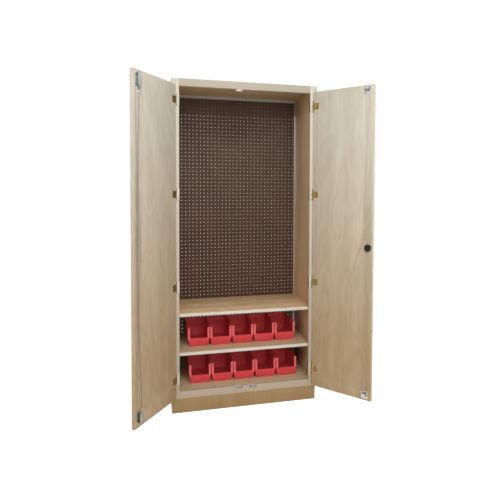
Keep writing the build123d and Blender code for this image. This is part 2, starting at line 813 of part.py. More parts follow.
with BuildPart() as lower_catch_case:
    fitting_case(1, lower_catch_plate, lower_catch_heights, 0, catch_screws)
    plunger_hole(1, lower_catch_case_bottom, lower_catch_case_bottom + plunger_bore)
save(lower_catch_case, "lower_catch_case")

with BuildPart() as upper_catch_plunger:
    tip = strike_ceiling - strike_gap
    plunger(1, tip - plunger_length, tip)
    fillet(upper_catch_plunger.faces().sort_by(Axis.Z)[-1].edges(), plunger_tip_radius)
save(upper_catch_plunger, "upper_catch_plunger")

with BuildPart() as lower_catch_plunger:
    tip = strike_floor + strike_gap
    plunger(1, tip, tip + plunger_length)
    fillet(lower_catch_plunger.faces().sort_by(Axis.Z)[0].edges(), plunger_tip_radius)
save(lower_catch_plunger, "lower_catch_plunger")

# Lock on the right door: a round case with a sliding bolt, and a barrel through the door
lock_point = [(lock_from_axis, lock_height)]
lock_bolt_out = (
    inner_face - lock_bolt_from_door - lock_bolt_depth,
    inner_face - lock_bolt_from_door,
)
lock_bolt_tip = lock_from_axis + lock_case_radius - 0.5
lock_bolt_heights = (lock_height - lock_bolt_height / 2, lock_height + lock_bolt_height / 2)
plug_end = inner_face - lock_bolt_from_door + 0.5
with BuildPart() as lock_case:
    door_round(1, lock_point, lock_ring_radius, (inner_face - lock_ring_depth, inner_face))
    door_round(1, lock_point, lock_case_radius, (inner_face - lock_case_depth, inner_face))
    door_block(
        1,
        (lock_bolt_tip - lock_bolt_length - slot_clearance, lock_bolt_tip + 10),
        (lock_bolt_heights[0] - slot_clearance, lock_bolt_heights[1] + slot_clearance),
        (lock_bolt_out[0] - slot_clearance, lock_bolt_out[1] + slot_clearance),
        mode=Mode.SUBTRACT,
    )
    door_round(1, lock_point, lock_plug_radius + 0.5, (lock_bolt_out[1], inner_face), mode=Mode.SUBTRACT)
save(lock_case, "lock_case")

with BuildPart() as lock_barrel:
    door_round(1, lock_point, lock_barrel_radius, (inner_face, outer_face))
    door_round(1, lock_point, lock_rose_radius, (outer_face, outer_face + lock_rose_depth))
    bore_radius = lock_plug_radius + running_clearance
    door_round(1, lock_point, bore_radius, (inner_face, outer_face + lock_rose_depth), mode=Mode.SUBTRACT)
save(lock_barrel, "lock_barrel")

with BuildPart() as lock_plug:
    plug_face = outer_face + lock_rose_depth
    door_round(1, lock_point, lock_plug_radius, (plug_end, plug_face))
    door_block(
        1,
        (lock_from_axis - key_slot_width / 2, lock_from_axis + key_slot_width / 2),
        (lock_height - key_slot_height / 2, lock_height + key_slot_height / 2),
        (plug_face - key_slot_depth, plug_face),
        mode=Mode.SUBTRACT,
    )
save(lock_plug, "lock_plug")

with BuildPart() as lock_bolt:
    door_block(1, (lock_bolt_tip - lock_bolt_length, lock_bolt_tip), lock_bolt_heights, lock_bolt_out)
save(lock_bolt, "lock_bolt")


def bin_block(centre_x, front_y, floor_z, inset):
    """Build a bin's outer form, or its inside where the walls' thickness is given as the inset.

    Seen from the side the front leans out up to the lip and back above it, and seen from the front the
    sides widen up to the lip and stand upright above it.
    """
    top = floor_z + bin_height
    half_floor = bin_bottom_width / 2 - inset
    half_top = bin_top_width / 2 - bin_rim_width - inset
    back_y = front_y + bin_depth - bin_rim_width - inset
    side_points = [
        (front_y + bin_front_lean + inset, floor_z + inset),
        (front_y + inset, floor_z + bin_lip_height - bin_lip_roll_height),
        (front_y + inset, floor_z + bin_lip_height),
        (front_y + bin_upright_lean + inset, top),
        (back_y, top),
        (back_y - bin_back_lean, floor_z + inset),
    ]
    front_points = [
        (centre_x - half_floor, floor_z + inset),
        (centre_x + half_floor, floor_z + inset),
        (centre_x + half_top, floor_z + bin_lip_height),
        (centre_x + half_top, top),
        (centre_x - half_top, top),
        (centre_x - half_top, floor_z + bin_lip_height),
    ]
    with BuildPart() as block:
        with BuildSketch(Plane.YZ.offset(centre_x)):
            with BuildLine():
                Polyline(*side_points, close=True)
            make_face()
        extrude(amount=half_top, both=True)
        with BuildSketch(Plane.XZ.offset(-front_y)):
            with BuildLine():
                Polyline(*front_points, close=True)
            make_face()
        extrude(amount=bin_depth, both=True, mode=Mode.INTERSECT)
    return block.part


def hopper_bin(centre_x, front_y, floor_z):
    """Build one open-front bin with its front at front_y and its floor at floor_z."""
    rim_start = front_y + bin_upright_lean
    rim_depth = bin_depth - bin_upright_lean
    roll_foot = floor_z + bin_lip_height - bin_lip_roll_height
    with BuildPart() as hopper:
        add(bin_block(centre_x, front_y, floor_z, 0))
        with BuildSketch(Plane.XY.offset(floor_z + bin_height - bin_rim_height)):
            with Locations((centre_x, rim_start + rim_depth / 2)):
                Rectangle(bin_top_width, rim_depth)
        extrude(amount=bin_rim_height)
        add(bin_block(centre_x, front_y, floor_z, bin_wall), mode=Mode.SUBTRACT)
        with BuildSketch(Plane.XY.offset(roll_foot)):
            with Locations((centre_x, front_y + bin_lip_roll / 2)):
                Rectangle(bin_opening_width, bin_lip_roll)
        extrude(amount=bin_lip_roll_height)
        with BuildSketch(Plane.XY.offset(floor_z + bin_lip_height)):
            with Locations((centre_x, front_y)):
                Rectangle(bin_opening_width, 2 * (bin_upright_lean + 2 * bin_wall))
        extrude(amount=bin_height, mode=Mode.SUBTRACT)
    return hopper


bin_rows = {
    "upper": (upper_bins_from_front, upper_bins_shift, lower_shelf_top),
    "lower": (lower_bins_from_front, lower_bins_shift, bottom_panel_top),
}
for row, (from_front, shift, shelf_top) in bin_rows.items():
    for number in range(bins_per_row):
        centre_x = shift + (number - (bins_per_row - 1) / 2) * bin_pitch
        bin_piece = hopper_bin(centre_x, front + from_front, shelf_top + bin_seat_gap)
        save(bin_piece, f"{row}_bin_{number + 1}")
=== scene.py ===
"""Looks of a tall two-door tool cabinet with open doors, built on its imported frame.

Every wooden board, fitting and bin gets its finished mesh and its finish here. Lengths are in metres, in
the frame's own axes: +X to the right as seen from the front, +Y to the back and +Z up.
"""
from __future__ import annotations

import json
import logging
import math
from contextlib import contextmanager
from dataclasses import dataclass, field, replace
from enum import Enum
from typing import Callable, Iterator, Sequence

import bmesh
import bpy
from mathutils import Matrix, Vector

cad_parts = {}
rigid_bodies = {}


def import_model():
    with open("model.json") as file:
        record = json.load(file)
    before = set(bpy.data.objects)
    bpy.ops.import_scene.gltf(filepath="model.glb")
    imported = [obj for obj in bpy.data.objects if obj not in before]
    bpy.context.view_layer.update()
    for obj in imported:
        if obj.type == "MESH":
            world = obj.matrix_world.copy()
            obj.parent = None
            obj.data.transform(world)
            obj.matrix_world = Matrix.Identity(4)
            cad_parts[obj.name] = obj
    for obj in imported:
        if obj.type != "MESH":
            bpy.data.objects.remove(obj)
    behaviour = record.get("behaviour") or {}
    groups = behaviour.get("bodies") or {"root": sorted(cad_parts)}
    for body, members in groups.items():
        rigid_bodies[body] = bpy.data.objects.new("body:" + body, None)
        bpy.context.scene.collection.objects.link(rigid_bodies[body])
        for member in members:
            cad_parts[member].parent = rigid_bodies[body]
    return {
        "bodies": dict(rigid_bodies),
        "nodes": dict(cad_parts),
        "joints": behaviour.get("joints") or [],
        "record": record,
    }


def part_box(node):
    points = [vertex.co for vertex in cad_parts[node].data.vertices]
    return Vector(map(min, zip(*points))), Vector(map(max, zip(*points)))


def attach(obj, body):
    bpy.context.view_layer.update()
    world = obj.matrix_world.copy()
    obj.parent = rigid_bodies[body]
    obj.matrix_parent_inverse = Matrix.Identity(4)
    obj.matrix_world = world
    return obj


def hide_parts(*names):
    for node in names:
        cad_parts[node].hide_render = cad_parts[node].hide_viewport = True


LOG = logging.getLogger("tool_cabinet")
MM = 0.001
NEAR = 0.1 * MM
FACING = 0.9
Tone = tuple[int, int, int]
Reach = Sequence[float]
Piece = bpy.types.Object
Socket = bpy.types.NodeSocket
FaceTest = Callable[[Vector, Vector], bool]
PointTest = Callable[[Vector], bool]
UP = Vector((0, 0, 1))
WHITE = (1, 1, 1, 1)


class Grain(Enum):
    """Axis along which the grain or the brushing runs, as an index into X, Y and Z."""

    ACROSS = 0
    UPRIGHT = 2

    def drawn_out(self, share: float) -> list[float]:
        """Give the scales that draw a pattern out along this axis."""
        return [share if axis == self.value else 1.0 for axis in range(3)]


class Part(Enum):
    """Part of a mesh that is selected, as Blender's word for it."""

    FACE = "FACE"
    POINT = "VERT"


class Side(Enum):
    """Side of the cabinet that a door hangs on, as its direction along X."""

    LEFT = -1
    RIGHT = 1

    @property
    def word(self) -> str:
        """Word that the names of this door's nodes and joint start with."""
        return self.name.lower()


def linear(tone: Tone) -> list[float]:
    """Turn a display colour, from 0 to 255, into the linear colour that a shader takes."""
    shares = [value / 255 for value in tone]
    return [each / 12.92 if each <= 0.04045 else ((each + 0.055) / 1.055) ** 2.4 for each in shares] + [1.0]


class NodeSheet:
    """Node tree of a finish or of the world, with short calls that add its nodes and join them."""

    def __init__(self, owner: bpy.types.ID) -> None:
        """Clear the tree of a material or a world.

        Args:
            owner: Material or world.
        """
        owner.use_nodes = True
        self.tree = owner.node_tree
        self.tree.nodes.clear()

    def add(self, kind: str, inputs: dict | None = None, **settings: object) -> bpy.types.Node:
        """Add a node, set its own properties and fill its inputs.

        Args:
            kind: Blender's name for the node's type.
            inputs: Plain value, or output to join, for inputs by name or number.
            **settings: Properties of the node.

        Returns:
            The new node.
        """
        node = self.tree.nodes.new(kind)
        for key, value in settings.items():
            setattr(node, key, value)
        for key, value in (inputs or {}).items():
            self.fill(node.inputs[key], value)
        return node

    def fill(self, target: Socket, value: object) -> None:
        """Join an output to an input, or set the input to a plain value.

        Args:
            target: Input to fill.
            value: Output or plain value.
        """
        if isinstance(value, Socket):
            self.tree.links.new(value, target)
        else:
            target.default_value = value

    def span(self, value: Socket, low: float, high: float, start: float = 0.0, end: float = 1.0) -> Socket:
        """Map a value that runs from low to high onto the range from start to end, clamped."""
        inputs = {"Value": value, "From Min": low, "From Max": high, "To Min": start, "To Max": end}
        return self.add("ShaderNodeMapRange", inputs, clamp=True).outputs["Result"]

    def combine(self, first: Socket, second: Socket | float, kind: str = "ADD") -> Socket:
        """Combine two values, by adding them or by another of Blender's operations."""
        return self.add("ShaderNodeMath", {0: first, 1: second}, operation=kind).outputs[0]


class FinishSheet(NodeSheet):
    """Material with a principled shader, whose patterns read the piece's own coordinates."""

    def __init__(self, name: str) -> None:
        """Start a material.

        Args:
            name: Name of the material.
        """
        self.material = bpy.data.materials.new(name)
        super().__init__(self.material)
        self.shader = self.add("ShaderNodeBsdfPrincipled")
        self.output = self.add("ShaderNodeOutputMaterial", {"Surface": self.shader.outputs["BSDF"]})
        self.coordinates = self.add("ShaderNodeTexCoord").outputs["Object"]

    def noise(
        self, scale: float, detail: float, rough: float, stretch: Reach = (1, 1, 1), shift: Reach = (0, 0, 0)
    ) -> Socket:
        """Make cloudy noise.

        Args:
            scale: Waves a metre.
            detail: Number of finer layers.
            rough: Strength of the finer layers.
            stretch: Factor on the coordinates along X, Y and Z.
            shift: Offset that makes one piece's pattern differ from another's.

        Returns:
            The noise, from 0 to 1.
        """
        place = {"Vector": self.coordinates, "Scale": stretch, "Location": shift}
        vector = self.add("ShaderNodeMapping", place).outputs["Vector"]
        inputs = {"Vector": vector, "Scale": scale, "Detail": detail, "Roughness": rough}
        return self.add("ShaderNodeTexNoise", inputs).outputs["Fac"]

    def mix(self, factor: Socket, low: Socket | Tone, high: Socket | Tone) -> Socket:
        """Blend two colours, the first one at a factor of 0 and the second one at 1."""
        start, end = (each if isinstance(each, Socket) else linear(each) for each in (low, high))
        return self.add("ShaderNodeMix", {"Factor": factor, 6: start, 7: end}, data_type="RGBA").outputs[2]

    def place_along(self, axis: str) -> Socket:
        """Give the place along X, Y or Z in metres, such as the height above the floor."""
        return self.add("ShaderNodeSeparateXYZ", {"Vector": self.coordinates}).outputs[axis]

    def finished(
        self, colour: Socket, rough: Socket, relief: Socket, strength: float, rise: float, **plain: float
    ) -> bpy.types.Material:
        """Join the shader's inputs and give the material.

        Args:
            colour: Base colour.
            rough: Roughness.
            relief: Height of the fine relief, from 0 to 1.
            strength: Strength of the relief.
            rise: Real height of the relief.
            **plain: Other inputs, with an underscore for each space in their names.

        Returns:
            The finished material.
        """
        bump = self.add("ShaderNodeBump", {"Strength": strength, "Distance": rise, "Height": relief})
        joined_inputs = {"Base Color": colour, "Roughness": rough, "Normal": bump.outputs["Normal"]}
        for key, value in (joined_inputs | plain).items():
            self.fill(self.shader.inputs[key.replace("_", " ")], value)
        return self.material


@dataclass(frozen=True)
class WoodFinish:
    """Clear-lacquered veneer or solid wood, its grain along one axis and its tone changing with height as
    painted light, paler at the top and darker towards the foot.

    Attributes:
        above: Tones between the growth lines and on them, from the height called high, lit by painted light.
        below: The same two tones, up to the height called low, darkened by painted shade.
        shift: Offset that makes one board's figure differ from another's.
        swirl: Share of the rotary-cut figure, with its broad loops.
        knot: Middle of a small dark knot, or None for clear wood.
        waves: Waves a metre of the broad figure, the growth lines, the pores and the loops' hills.
        loops: Number of half loops from the lowest hill to the highest.
    """

    name: str
    above: tuple[Tone, Tone]
    below: tuple[Tone, Tone]
    grain: Grain
    low: float = 0.1
    high: float = 2.0
    shift: Reach = (0, 0, 0)
    swirl: float = 0.0
    roughness: float = 0.5
    knot: Reach | None = None
    knot_radius: float = 9.0 * MM
    knot_tone: Tone = (62, 26, 14)
    waves: Reach = (14.0, 150.0, 1400.0, 4.2)
    loops: float = 9.0

    def make(self) -> bpy.types.Material:
        """Build the material.

        Returns:
            The finished material.
        """
        sheet = FinishSheet(self.name)
        broad_waves, line_waves, pore_waves, hill_waves = self.waves
        along = self.grain.drawn_out(0.035)
        broad = sheet.noise(broad_waves, 3.0, 0.55, along, self.shift)
        lines = sheet.noise(line_waves, 5.0, 0.7, along, self.shift)
        pores = sheet.noise(pore_waves, 2.0, 0.6, self.grain.drawn_out(0.06), self.shift)
        veins = sheet.span(lines, 0.32, 0.68, 0.0, 0.45)
        figure = sheet.combine(sheet.span(broad, 0.3, 0.7, 0.0, 0.55), veins)
        if self.swirl > 0:
            hills = sheet.noise(hill_waves, 2.0, 0.45, self.grain.drawn_out(0.3), self.shift)
            looped = sheet.combine(sheet.span(hills, 0.2, 0.8, 0.0, self.loops), 0.5, "PINGPONG")
            figure = sheet.combine(figure, sheet.span(looped, 0.0, 0.5, -self.swirl, self.swirl))
        # Painted light: the tones blend from the shaded lower pair at low to the lit upper pair at high.
        level = sheet.span(sheet.place_along("Z"), self.low, self.high)
        pale, dark = (sheet.mix(level, below, above) for below, above in zip(self.below, self.above))
        colour = sheet.mix(figure, dark, pale)
        colour = sheet.mix(sheet.span(pores, 0.62, 0.74, 0.0, 0.25), colour, dark)
        if self.knot is not None:
            ends = {0: sheet.coordinates, 1: self.knot}
            reach = sheet.add("ShaderNodeVectorMath", ends, operation="DISTANCE").outputs["Value"]
            share = sheet.span(reach, self.knot_radius * 0.7, self.knot_radius, 1.0, 0.0)
            colour = sheet.mix(share, colour, self.knot_tone)
        rough = sheet.span(lines, 0.3, 0.7, self.roughness + 0.07, self.roughness - 0.05)
        relief = sheet.combine(lines, sheet.span(pores, 0.4, 0.75, 0.35, 0.0))
        return sheet.finished(colour, rough, relief, 0.22, 0.15 * MM, Specular_IOR_Level=0.25)


@dataclass(frozen=True)
class BoardFinish:
    """Tempered hardboard: a dark brown pressed face with cloudy tone, painted paler in front behind the bins
    as painted light.

    The front has its foot_face colour up to foot_height, as painted light that lifts the shade there. The
    rear face, at rear_depth, doesn't.
    """

    name: str = "hardboard"
    face: Tone = (80, 62, 50)
    low_face: Tone = (76, 50, 36)
    cloud: Tone = (64, 48, 38)
    foot_face: Tone = (112, 98, 80)
    foot_height: float = 0.6
    rear_depth: float = 209.55 * MM

    def make(self) -> bpy.types.Material:
        """Build the material.

        Returns:
            The finished material.
        """
        sheet = FinishSheet(self.name)
        clouds = sheet.noise(3.2, 4.0, 0.6)
        fibres = sheet.noise(900.0, 3.0, 0.7)
        height = sheet.place_along("Z")
        base = sheet.mix(sheet.span(height, 0.5, 1.6), self.low_face, self.face)
        clouded = sheet.mix(sheet.span(clouds, 0.35, 0.7, 0.0, 0.6), base, self.cloud)
        # Painted light: the front is paler up to foot_height, lifting the shade behind the bins.
        foot = sheet.span(height, self.foot_height - 20 * MM, self.foot_height, 1.0, 0.0)
        rear = sheet.span(sheet.place_along("Y"), self.rear_depth - 0.5 * MM, self.rear_depth)
        colour = sheet.mix(rear, sheet.mix(foot, clouded, self.foot_face), clouded)
        colour = sheet.mix(sheet.span(fibres, 0.55, 0.8, 0.0, 0.3), colour, self.cloud)
        rough = sheet.span(clouds, 0.3, 0.7, 0.62, 0.76)
        return sheet.finished(colour, rough, fibres, 0.25, 0.1 * MM, Specular_IOR_Level=0.15)


@dataclass(frozen=True)
class PlasticFinish:
    """Moulded plastic or enamel with a fine skin, slight flow marks and an even gloss."""

    name: str
    colour: Tone
    shade: Tone
    roughness: float
    gloss: float = 0.5
    skin: float = 0.12

    def make(self) -> bpy.types.Material:
        """Build the material.

        Returns:
            The finished material.
        """
        sheet = FinishSheet(self.name)
        flow = sheet.noise(22.0, 3.0, 0.5, (1, 1, 2.5))
        grit = sheet.noise(2200.0, 2.0, 0.5)
        colour = sheet.mix(sheet.span(flow, 0.35, 0.7), self.colour, self.shade)
        rough = sheet.span(flow, 0.3, 0.7, self.roughness - 0.04, self.roughness + 0.08)
        return sheet.finished(colour, rough, grit, self.skin, 0.05 * MM, Specular_IOR_Level=self.gloss)


@dataclass(frozen=True)
class MetalFinish:
    """Plated or plain metal with fine brushing and a little tarnish."""

    name: str
    bright: Tone
    dull: Tone
    roughness: float
    metallic: float
    brushing: Grain = Grain.UPRIGHT

    def make(self) -> bpy.types.Material:
        """Build the material.

        Returns:
            The finished material.
        """
        sheet = FinishSheet(self.name)
        brush = sheet.noise(2600.0, 2.0, 0.6, self.brushing.drawn_out(0.05))
        stain = sheet.noise(85.0, 4.0, 0.6)
        colour = sheet.mix(sheet.span(stain, 0.4, 0.72), self.bright, self.dull)
        brushed = sheet.span(brush, 0.3, 0.7, self.roughness - 0.05, self.roughness + 0.06)
        rough = sheet.combine(sheet.span(stain, 0.3, 0.7, 0.0, 0.12), brushed)
        return sheet.finished(colour, rough, brush, 0.12, 0.03 * MM, Metallic=self.metallic)


class Finishes:
    """Every finish of the cabinet by name, each made once, when a piece first asks for it."""

    def __init__(self) -> None:
        """List the finishes, with none made yet."""
        up, across = Grain.UPRIGHT, Grain.ACROSS
        # The _low pairs are the lower tones that the woods blend to by height, darker towards the foot as
        # painted shade.
        door, door_low = ((203, 196, 180), (190, 180, 162)), ((184, 162, 127), (168, 142, 106))
        # The rails' tones are darker than the doors' as painted shade, against the lamp that faces them.
        rail, rail_low = ((179, 171, 155), (165, 155, 137)), ((184, 168, 148), (168, 150, 128))
        # The inside boards' tones (side, body, shelf) are paler than the veneer as painted light that lifts
        # the shade inside the cabinet; the side's upper tone is paler again, against the ceiling's shadow.
        side, body = ((232, 207, 171), (214, 185, 147)), ((220, 192, 156), (202, 170, 132))
        body_low, low_flat = ((214, 180, 140), (196, 158, 118)), ((196, 173, 142), (179, 153, 120))
        # The lipping's tones are paler than the door's, as a painted highlight down the right door's free
        # edge.
        edge, edge_low = ((222, 214, 194), (211, 201, 179)), ((208, 192, 156), (195, 176, 138))
        shelf, plinth = ((228, 201, 160), (198, 164, 121)), ((160, 132, 92), (144, 115, 76))
        ceiling, back = ((207, 178, 136), (189, 157, 116)), ((186, 180, 170), (172, 166, 154))
        # The band's tones are the pale edge band on the face frame's inner edges, with a painted highlight
        # in them.
        band, band_low = ((218, 211, 198), (208, 200, 184)), ((188, 174, 150), (176, 161, 135))
        self.plans = {plan.name: plan for plan in (
            WoodFinish("maple_door", door, door_low, up, 0.4, 1.75, swirl=0.22),
            WoodFinish("maple_stile", door, rail_low, up, shift=(1.3, 0, 0)),
            WoodFinish("maple_rail", rail, rail_low, across, shift=(0, 0.7, 0)),
            WoodFinish("maple_plinth", plinth, plinth, up, shift=(2.1, 0, 0.3)),
            WoodFinish("maple_side", side, body_low, up, shift=(0, 1.1, 0), swirl=0.15),
            WoodFinish("maple_flat", body, body_low, across, shift=(0, 2.2, 0)),
            WoodFinish("maple_low_flat", low_flat, low_flat, across, shift=(0, 2.7, 0)),
            WoodFinish("maple_lipping", edge, edge_low, up, 0.4, 1.75),
            WoodFinish("maple_shelf", shelf, shelf, across, shift=(0, 0.4, 0), swirl=0.3),
            WoodFinish("maple_ceiling", ceiling, ceiling, across, shift=(0, 3.1, 0)),
            WoodFinish("maple_back_rail", back, back, across, shift=(0, 1.7, 0)),
            WoodFinish("band_upright", band, band_low, up, 0.4, 1.9),
            BoardFinish(),
            MetalFinish("aged_brass", (172, 146, 86), (132, 108, 56), 0.42, 0.8),
            # Darkened brass, as painted shade on the tall hinge leaves.
            MetalFinish("dull_brass", (112, 92, 54), (84, 68, 38), 0.5, 0.7),
            # A darker copy of the aged brass, as painted shade on the left door's hinge leaves.
            MetalFinish("dark_brass", (140, 115, 64), (108, 87, 46), 0.46, 0.8),
            # Painted reflection on the fronts of the tall hinge leaves.
            MetalFinish("pale_leaf", (188, 179, 161), (174, 164, 146), 0.5, 0.2),
            MetalFinish("dark_steel", (18, 16, 15), (11, 10, 9), 0.55, 0.1),
            MetalFinish("wire_steel", (134, 120, 114), (112, 100, 96), 0.45, 0.6),
            MetalFinish("zinc_plate", (200, 201, 196), (172, 173, 167), 0.42, 0.8, across),
            # Painted shade on the sides of the upper latch's case.
            MetalFinish("case_side", (112, 126, 132), (92, 104, 110), 0.42, 0.6),
            # Darker copies of the zinc plate and of the case's sides, as painted shade on the lower latch.
            MetalFinish("case_low", (150, 158, 148), (126, 134, 124), 0.42, 0.8),
            MetalFinish("case_low_side", (70, 80, 74), (54, 62, 58), 0.45, 0.6),
            # Painted shade on the sides of the right door's catch cases.
            MetalFinish("catch_side", (72, 76, 82), (54, 57, 62), 0.45, 0.6),
            # A darker copy of the plate, as painted shade on the lower strikes in their notches.
            MetalFinish("strike_plate", (162, 154, 146), (136, 128, 121), 0.5, 0.4, across),
            MetalFinish("satin_nickel", (190, 188, 182), (150, 148, 142), 0.28, 1.0),
            PlasticFinish("edge_band", (207, 198, 184), (195, 186, 171), 0.5),
            PlasticFinish("guide_plastic", (216, 216, 214), (204, 204, 200), 0.45),
            PlasticFinish("black_enamel", (22, 21, 18), (14, 13, 11), 0.4, 0.3, 0.05),
            # Painted highlight on the bins' edges that face up and forward.
            PlasticFinish("bin_edge", (220, 98, 102), (210, 86, 90), 0.5, 0.2),
            PlasticFinish("bin_plastic", (213, 74, 77), (201, 63, 68), 0.5, 0.15),
        )}
        self.made: dict[str, bpy.types.Material] = {}

    def get(self, name: str) -> bpy.types.Material:
        """Give the material of a finish.

        Args:
            name: Name of the finish.

        Returns:
            The material.
        """
        if name not in self.made:
            self.made[name] = self.plans[name].make()
        return self.made[name]


def clear_selection() -> None:
    """Leave edit mode and deselect every object."""
    if bpy.context.object and bpy.context.object.mode != "OBJECT":
        bpy.ops.object.mode_set(mode="OBJECT")
    bpy.ops.object.select_all(action="DESELECT")


def choose(*pieces: Piece) -> None:
    """Select some objects and no others.

    Args:
        *pieces: Objects to select, the first one active.
    """
    clear_selection()
    for piece in pieces:
        piece.select_set(True)
    bpy.context.view_layer.objects.active = pieces[0]


@contextmanager
def bench(piece: Piece) -> Iterator[None]:
    """Hold a piece in edit mode inside the block, with nothing selected at first.

    Args:
        piece: Object to edit.

    Yields:
        Nothing.
    """
    choose(piece)
    bpy.ops.object.mode_set(mode="EDIT")
    bpy.ops.mesh.select_all(action="DESELECT")
    yield
    bpy.ops.object.mode_set(mode="OBJECT")


def pick_faces(piece: Piece, wanted: FaceTest) -> None:
    """Select the faces of the piece on the bench whose centre and normal pass a test, and no others."""
    pick(piece, Part.FACE, lambda face: wanted(face.calc_center_median(), face.normal))


def pick_points(piece: Piece, wanted: PointTest) -> None:
    """Select the points of the piece on the bench whose place passes a test, and no others."""
    pick(piece, Part.POINT, lambda point: wanted(point.co))


def pick(piece: Piece, part: Part, wanted: Callable[[object], bool]) -> None:
    """Select the faces or the points of a piece that pass a test, and no others.

    Args:
        piece: Object in edit mode.
        part: Faces or points.
        wanted: Test of a face or a point.
    """
    bpy.ops.mesh.select_mode(type=part.value)
    bpy.ops.mesh.select_all(action="DESELECT")
    mesh = bmesh.from_edit_mesh(piece.data)
    for each in mesh.faces if part is Part.FACE else mesh.verts:
        if wanted(each):
            each.select_set(True)
    if part is Part.POINT:
        mesh.select_flush(True)
    bmesh.update_edit_mesh(piece.data)


def swell(piece: Piece, wanted: FaceTest, rise: float) -> None:
    """Raise the faces that pass a test off the piece on the bench."""
    pick_faces(piece, wanted)
    bpy.ops.mesh.extrude_region_shrink_fatten(TRANSFORM_OT_shrink_fatten={"value": rise})


def shift_points(piece: Piece, wanted: PointTest, move: Reach) -> None:
    """Move the points of the piece on the bench that pass a test."""
    pick_points(piece, wanted)
    bpy.ops.transform.translate(value=move)


def settled(name: str) -> Piece:
    """Name the new primitive and put its place and size in its mesh.

    Args:
        name: Name of the piece.

    Returns:
        The piece, with its object at the origin.
    """
    bpy.ops.object.transform_apply(location=True, rotation=True, scale=True)
    bpy.context.object.name = name
    return bpy.context.object


def blank(name: str, low: Reach, high: Reach) -> Piece:
    """Start a piece as a block between two corners.

    Args:
        name: Name of the piece.
        low: Lowest corner.
        high: Highest corner.

    Returns:
        The block, ready to be shaped.
    """
    clear_selection()
    bpy.ops.mesh.primitive_cube_add(size=1, location=[(a + b) / 2 for a, b in zip(low, high)])
    bpy.context.object.scale = [b - a for a, b in zip(low, high)]
    return settled(name)


def rod(name: str, radius: float, low: float, high: float, sides: int) -> Piece:
    """Start a round piece on the Z axis between two heights.

    Args:
        name: Name of the piece.
        radius: Radius.
        low: Lower end.
        high: Upper end.
        sides: Number of sides.

    Returns:
        The round piece, ready to be shaped.
    """
    clear_selection()
    middle = (0, 0, (low + high) / 2)
    bpy.ops.mesh.primitive_cylinder_add(vertices=sides, radius=radius, depth=high - low, location=middle)
    return settled(name)


def use_modifier(piece: Piece, kind: str, **settings: object) -> None:
    """Add a modifier to a piece and apply it.

    Args:
        piece: Object to change.
        kind: Blender's name for the modifier's type.
        **settings: Properties of the modifier.
    """
    choose(piece)
    modifier = piece.modifiers.new(kind.lower(), kind)
    for key, value in settings.items():
        setattr(modifier, key, value)
    bpy.ops.object.modifier_apply(modifier=modifier.name)


def ease_edges(piece: Piece, width: float, segments: int = 2, angle: float = 35.0) -> None:
    """Round the edges that turn by more than an angle in degrees, with some facets across the rounding."""
    turn = math.radians(angle)
    use_modifier(piece, "BEVEL", width=width, segments=segments, limit_method="ANGLE", angle_limit=turn)


def smooth(piece: Piece, angle: float = 38.0) -> None:
    """Shade a piece smooth across edges that turn less than an angle in degrees."""
    choose(piece)
    bpy.ops.object.shade_smooth_by_angle(angle=math.radians(angle))


def copied(piece: Piece, name: str, matrix: Matrix = Matrix()) -> Piece:
    """Copy a piece with its own mesh, and put the copy's place in its mesh.

    Args:
        piece: Object to copy.
        name: Name of the copy.
        matrix: Where the copy goes.

    Returns:
        The copy, with its object at the origin.
    """
    copy = bpy.data.objects.new(name, piece.data.copy())
    bpy.context.scene.collection.objects.link(copy)
    copy.data.transform(matrix)
    return copy


def joined(pieces: Sequence[Piece], name: str) -> Piece:
    """Join several objects into one.

    Args:
        pieces: Objects to join.
        name: Name of the result.

    Returns:
        The joined object.
    """
    choose(*pieces)
    bpy.ops.object.join()
    pieces[0].name = name
    return pieces[0]


def axes(right: Vector, up: Vector, back: Vector, origin: Vector) -> Matrix:
    """Give the matrix that has three axes and an origin as its columns."""
    return Matrix.Translation(origin) @ Matrix((right, up, back)).transposed().to_4x4()


class Cabinet:
    """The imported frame, where each of its nodes belongs, and the finishes."""

    def __init__(self) -> None:
        """Load the frame and read where each node belongs."""
        self.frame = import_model()
        clear_selection()
        self.finishes = Finishes()
        bodies = self.frame["record"]["behaviour"]["bodies"]
        self.body_of = {node: body for body, nodes in bodies.items() for node in nodes}
        self.slot_of = {row["node"]: row["material_slot"] for row in self.frame["record"]["subparts"]}
        self.joints = {joint["name"]: joint for joint in self.frame["joints"]}


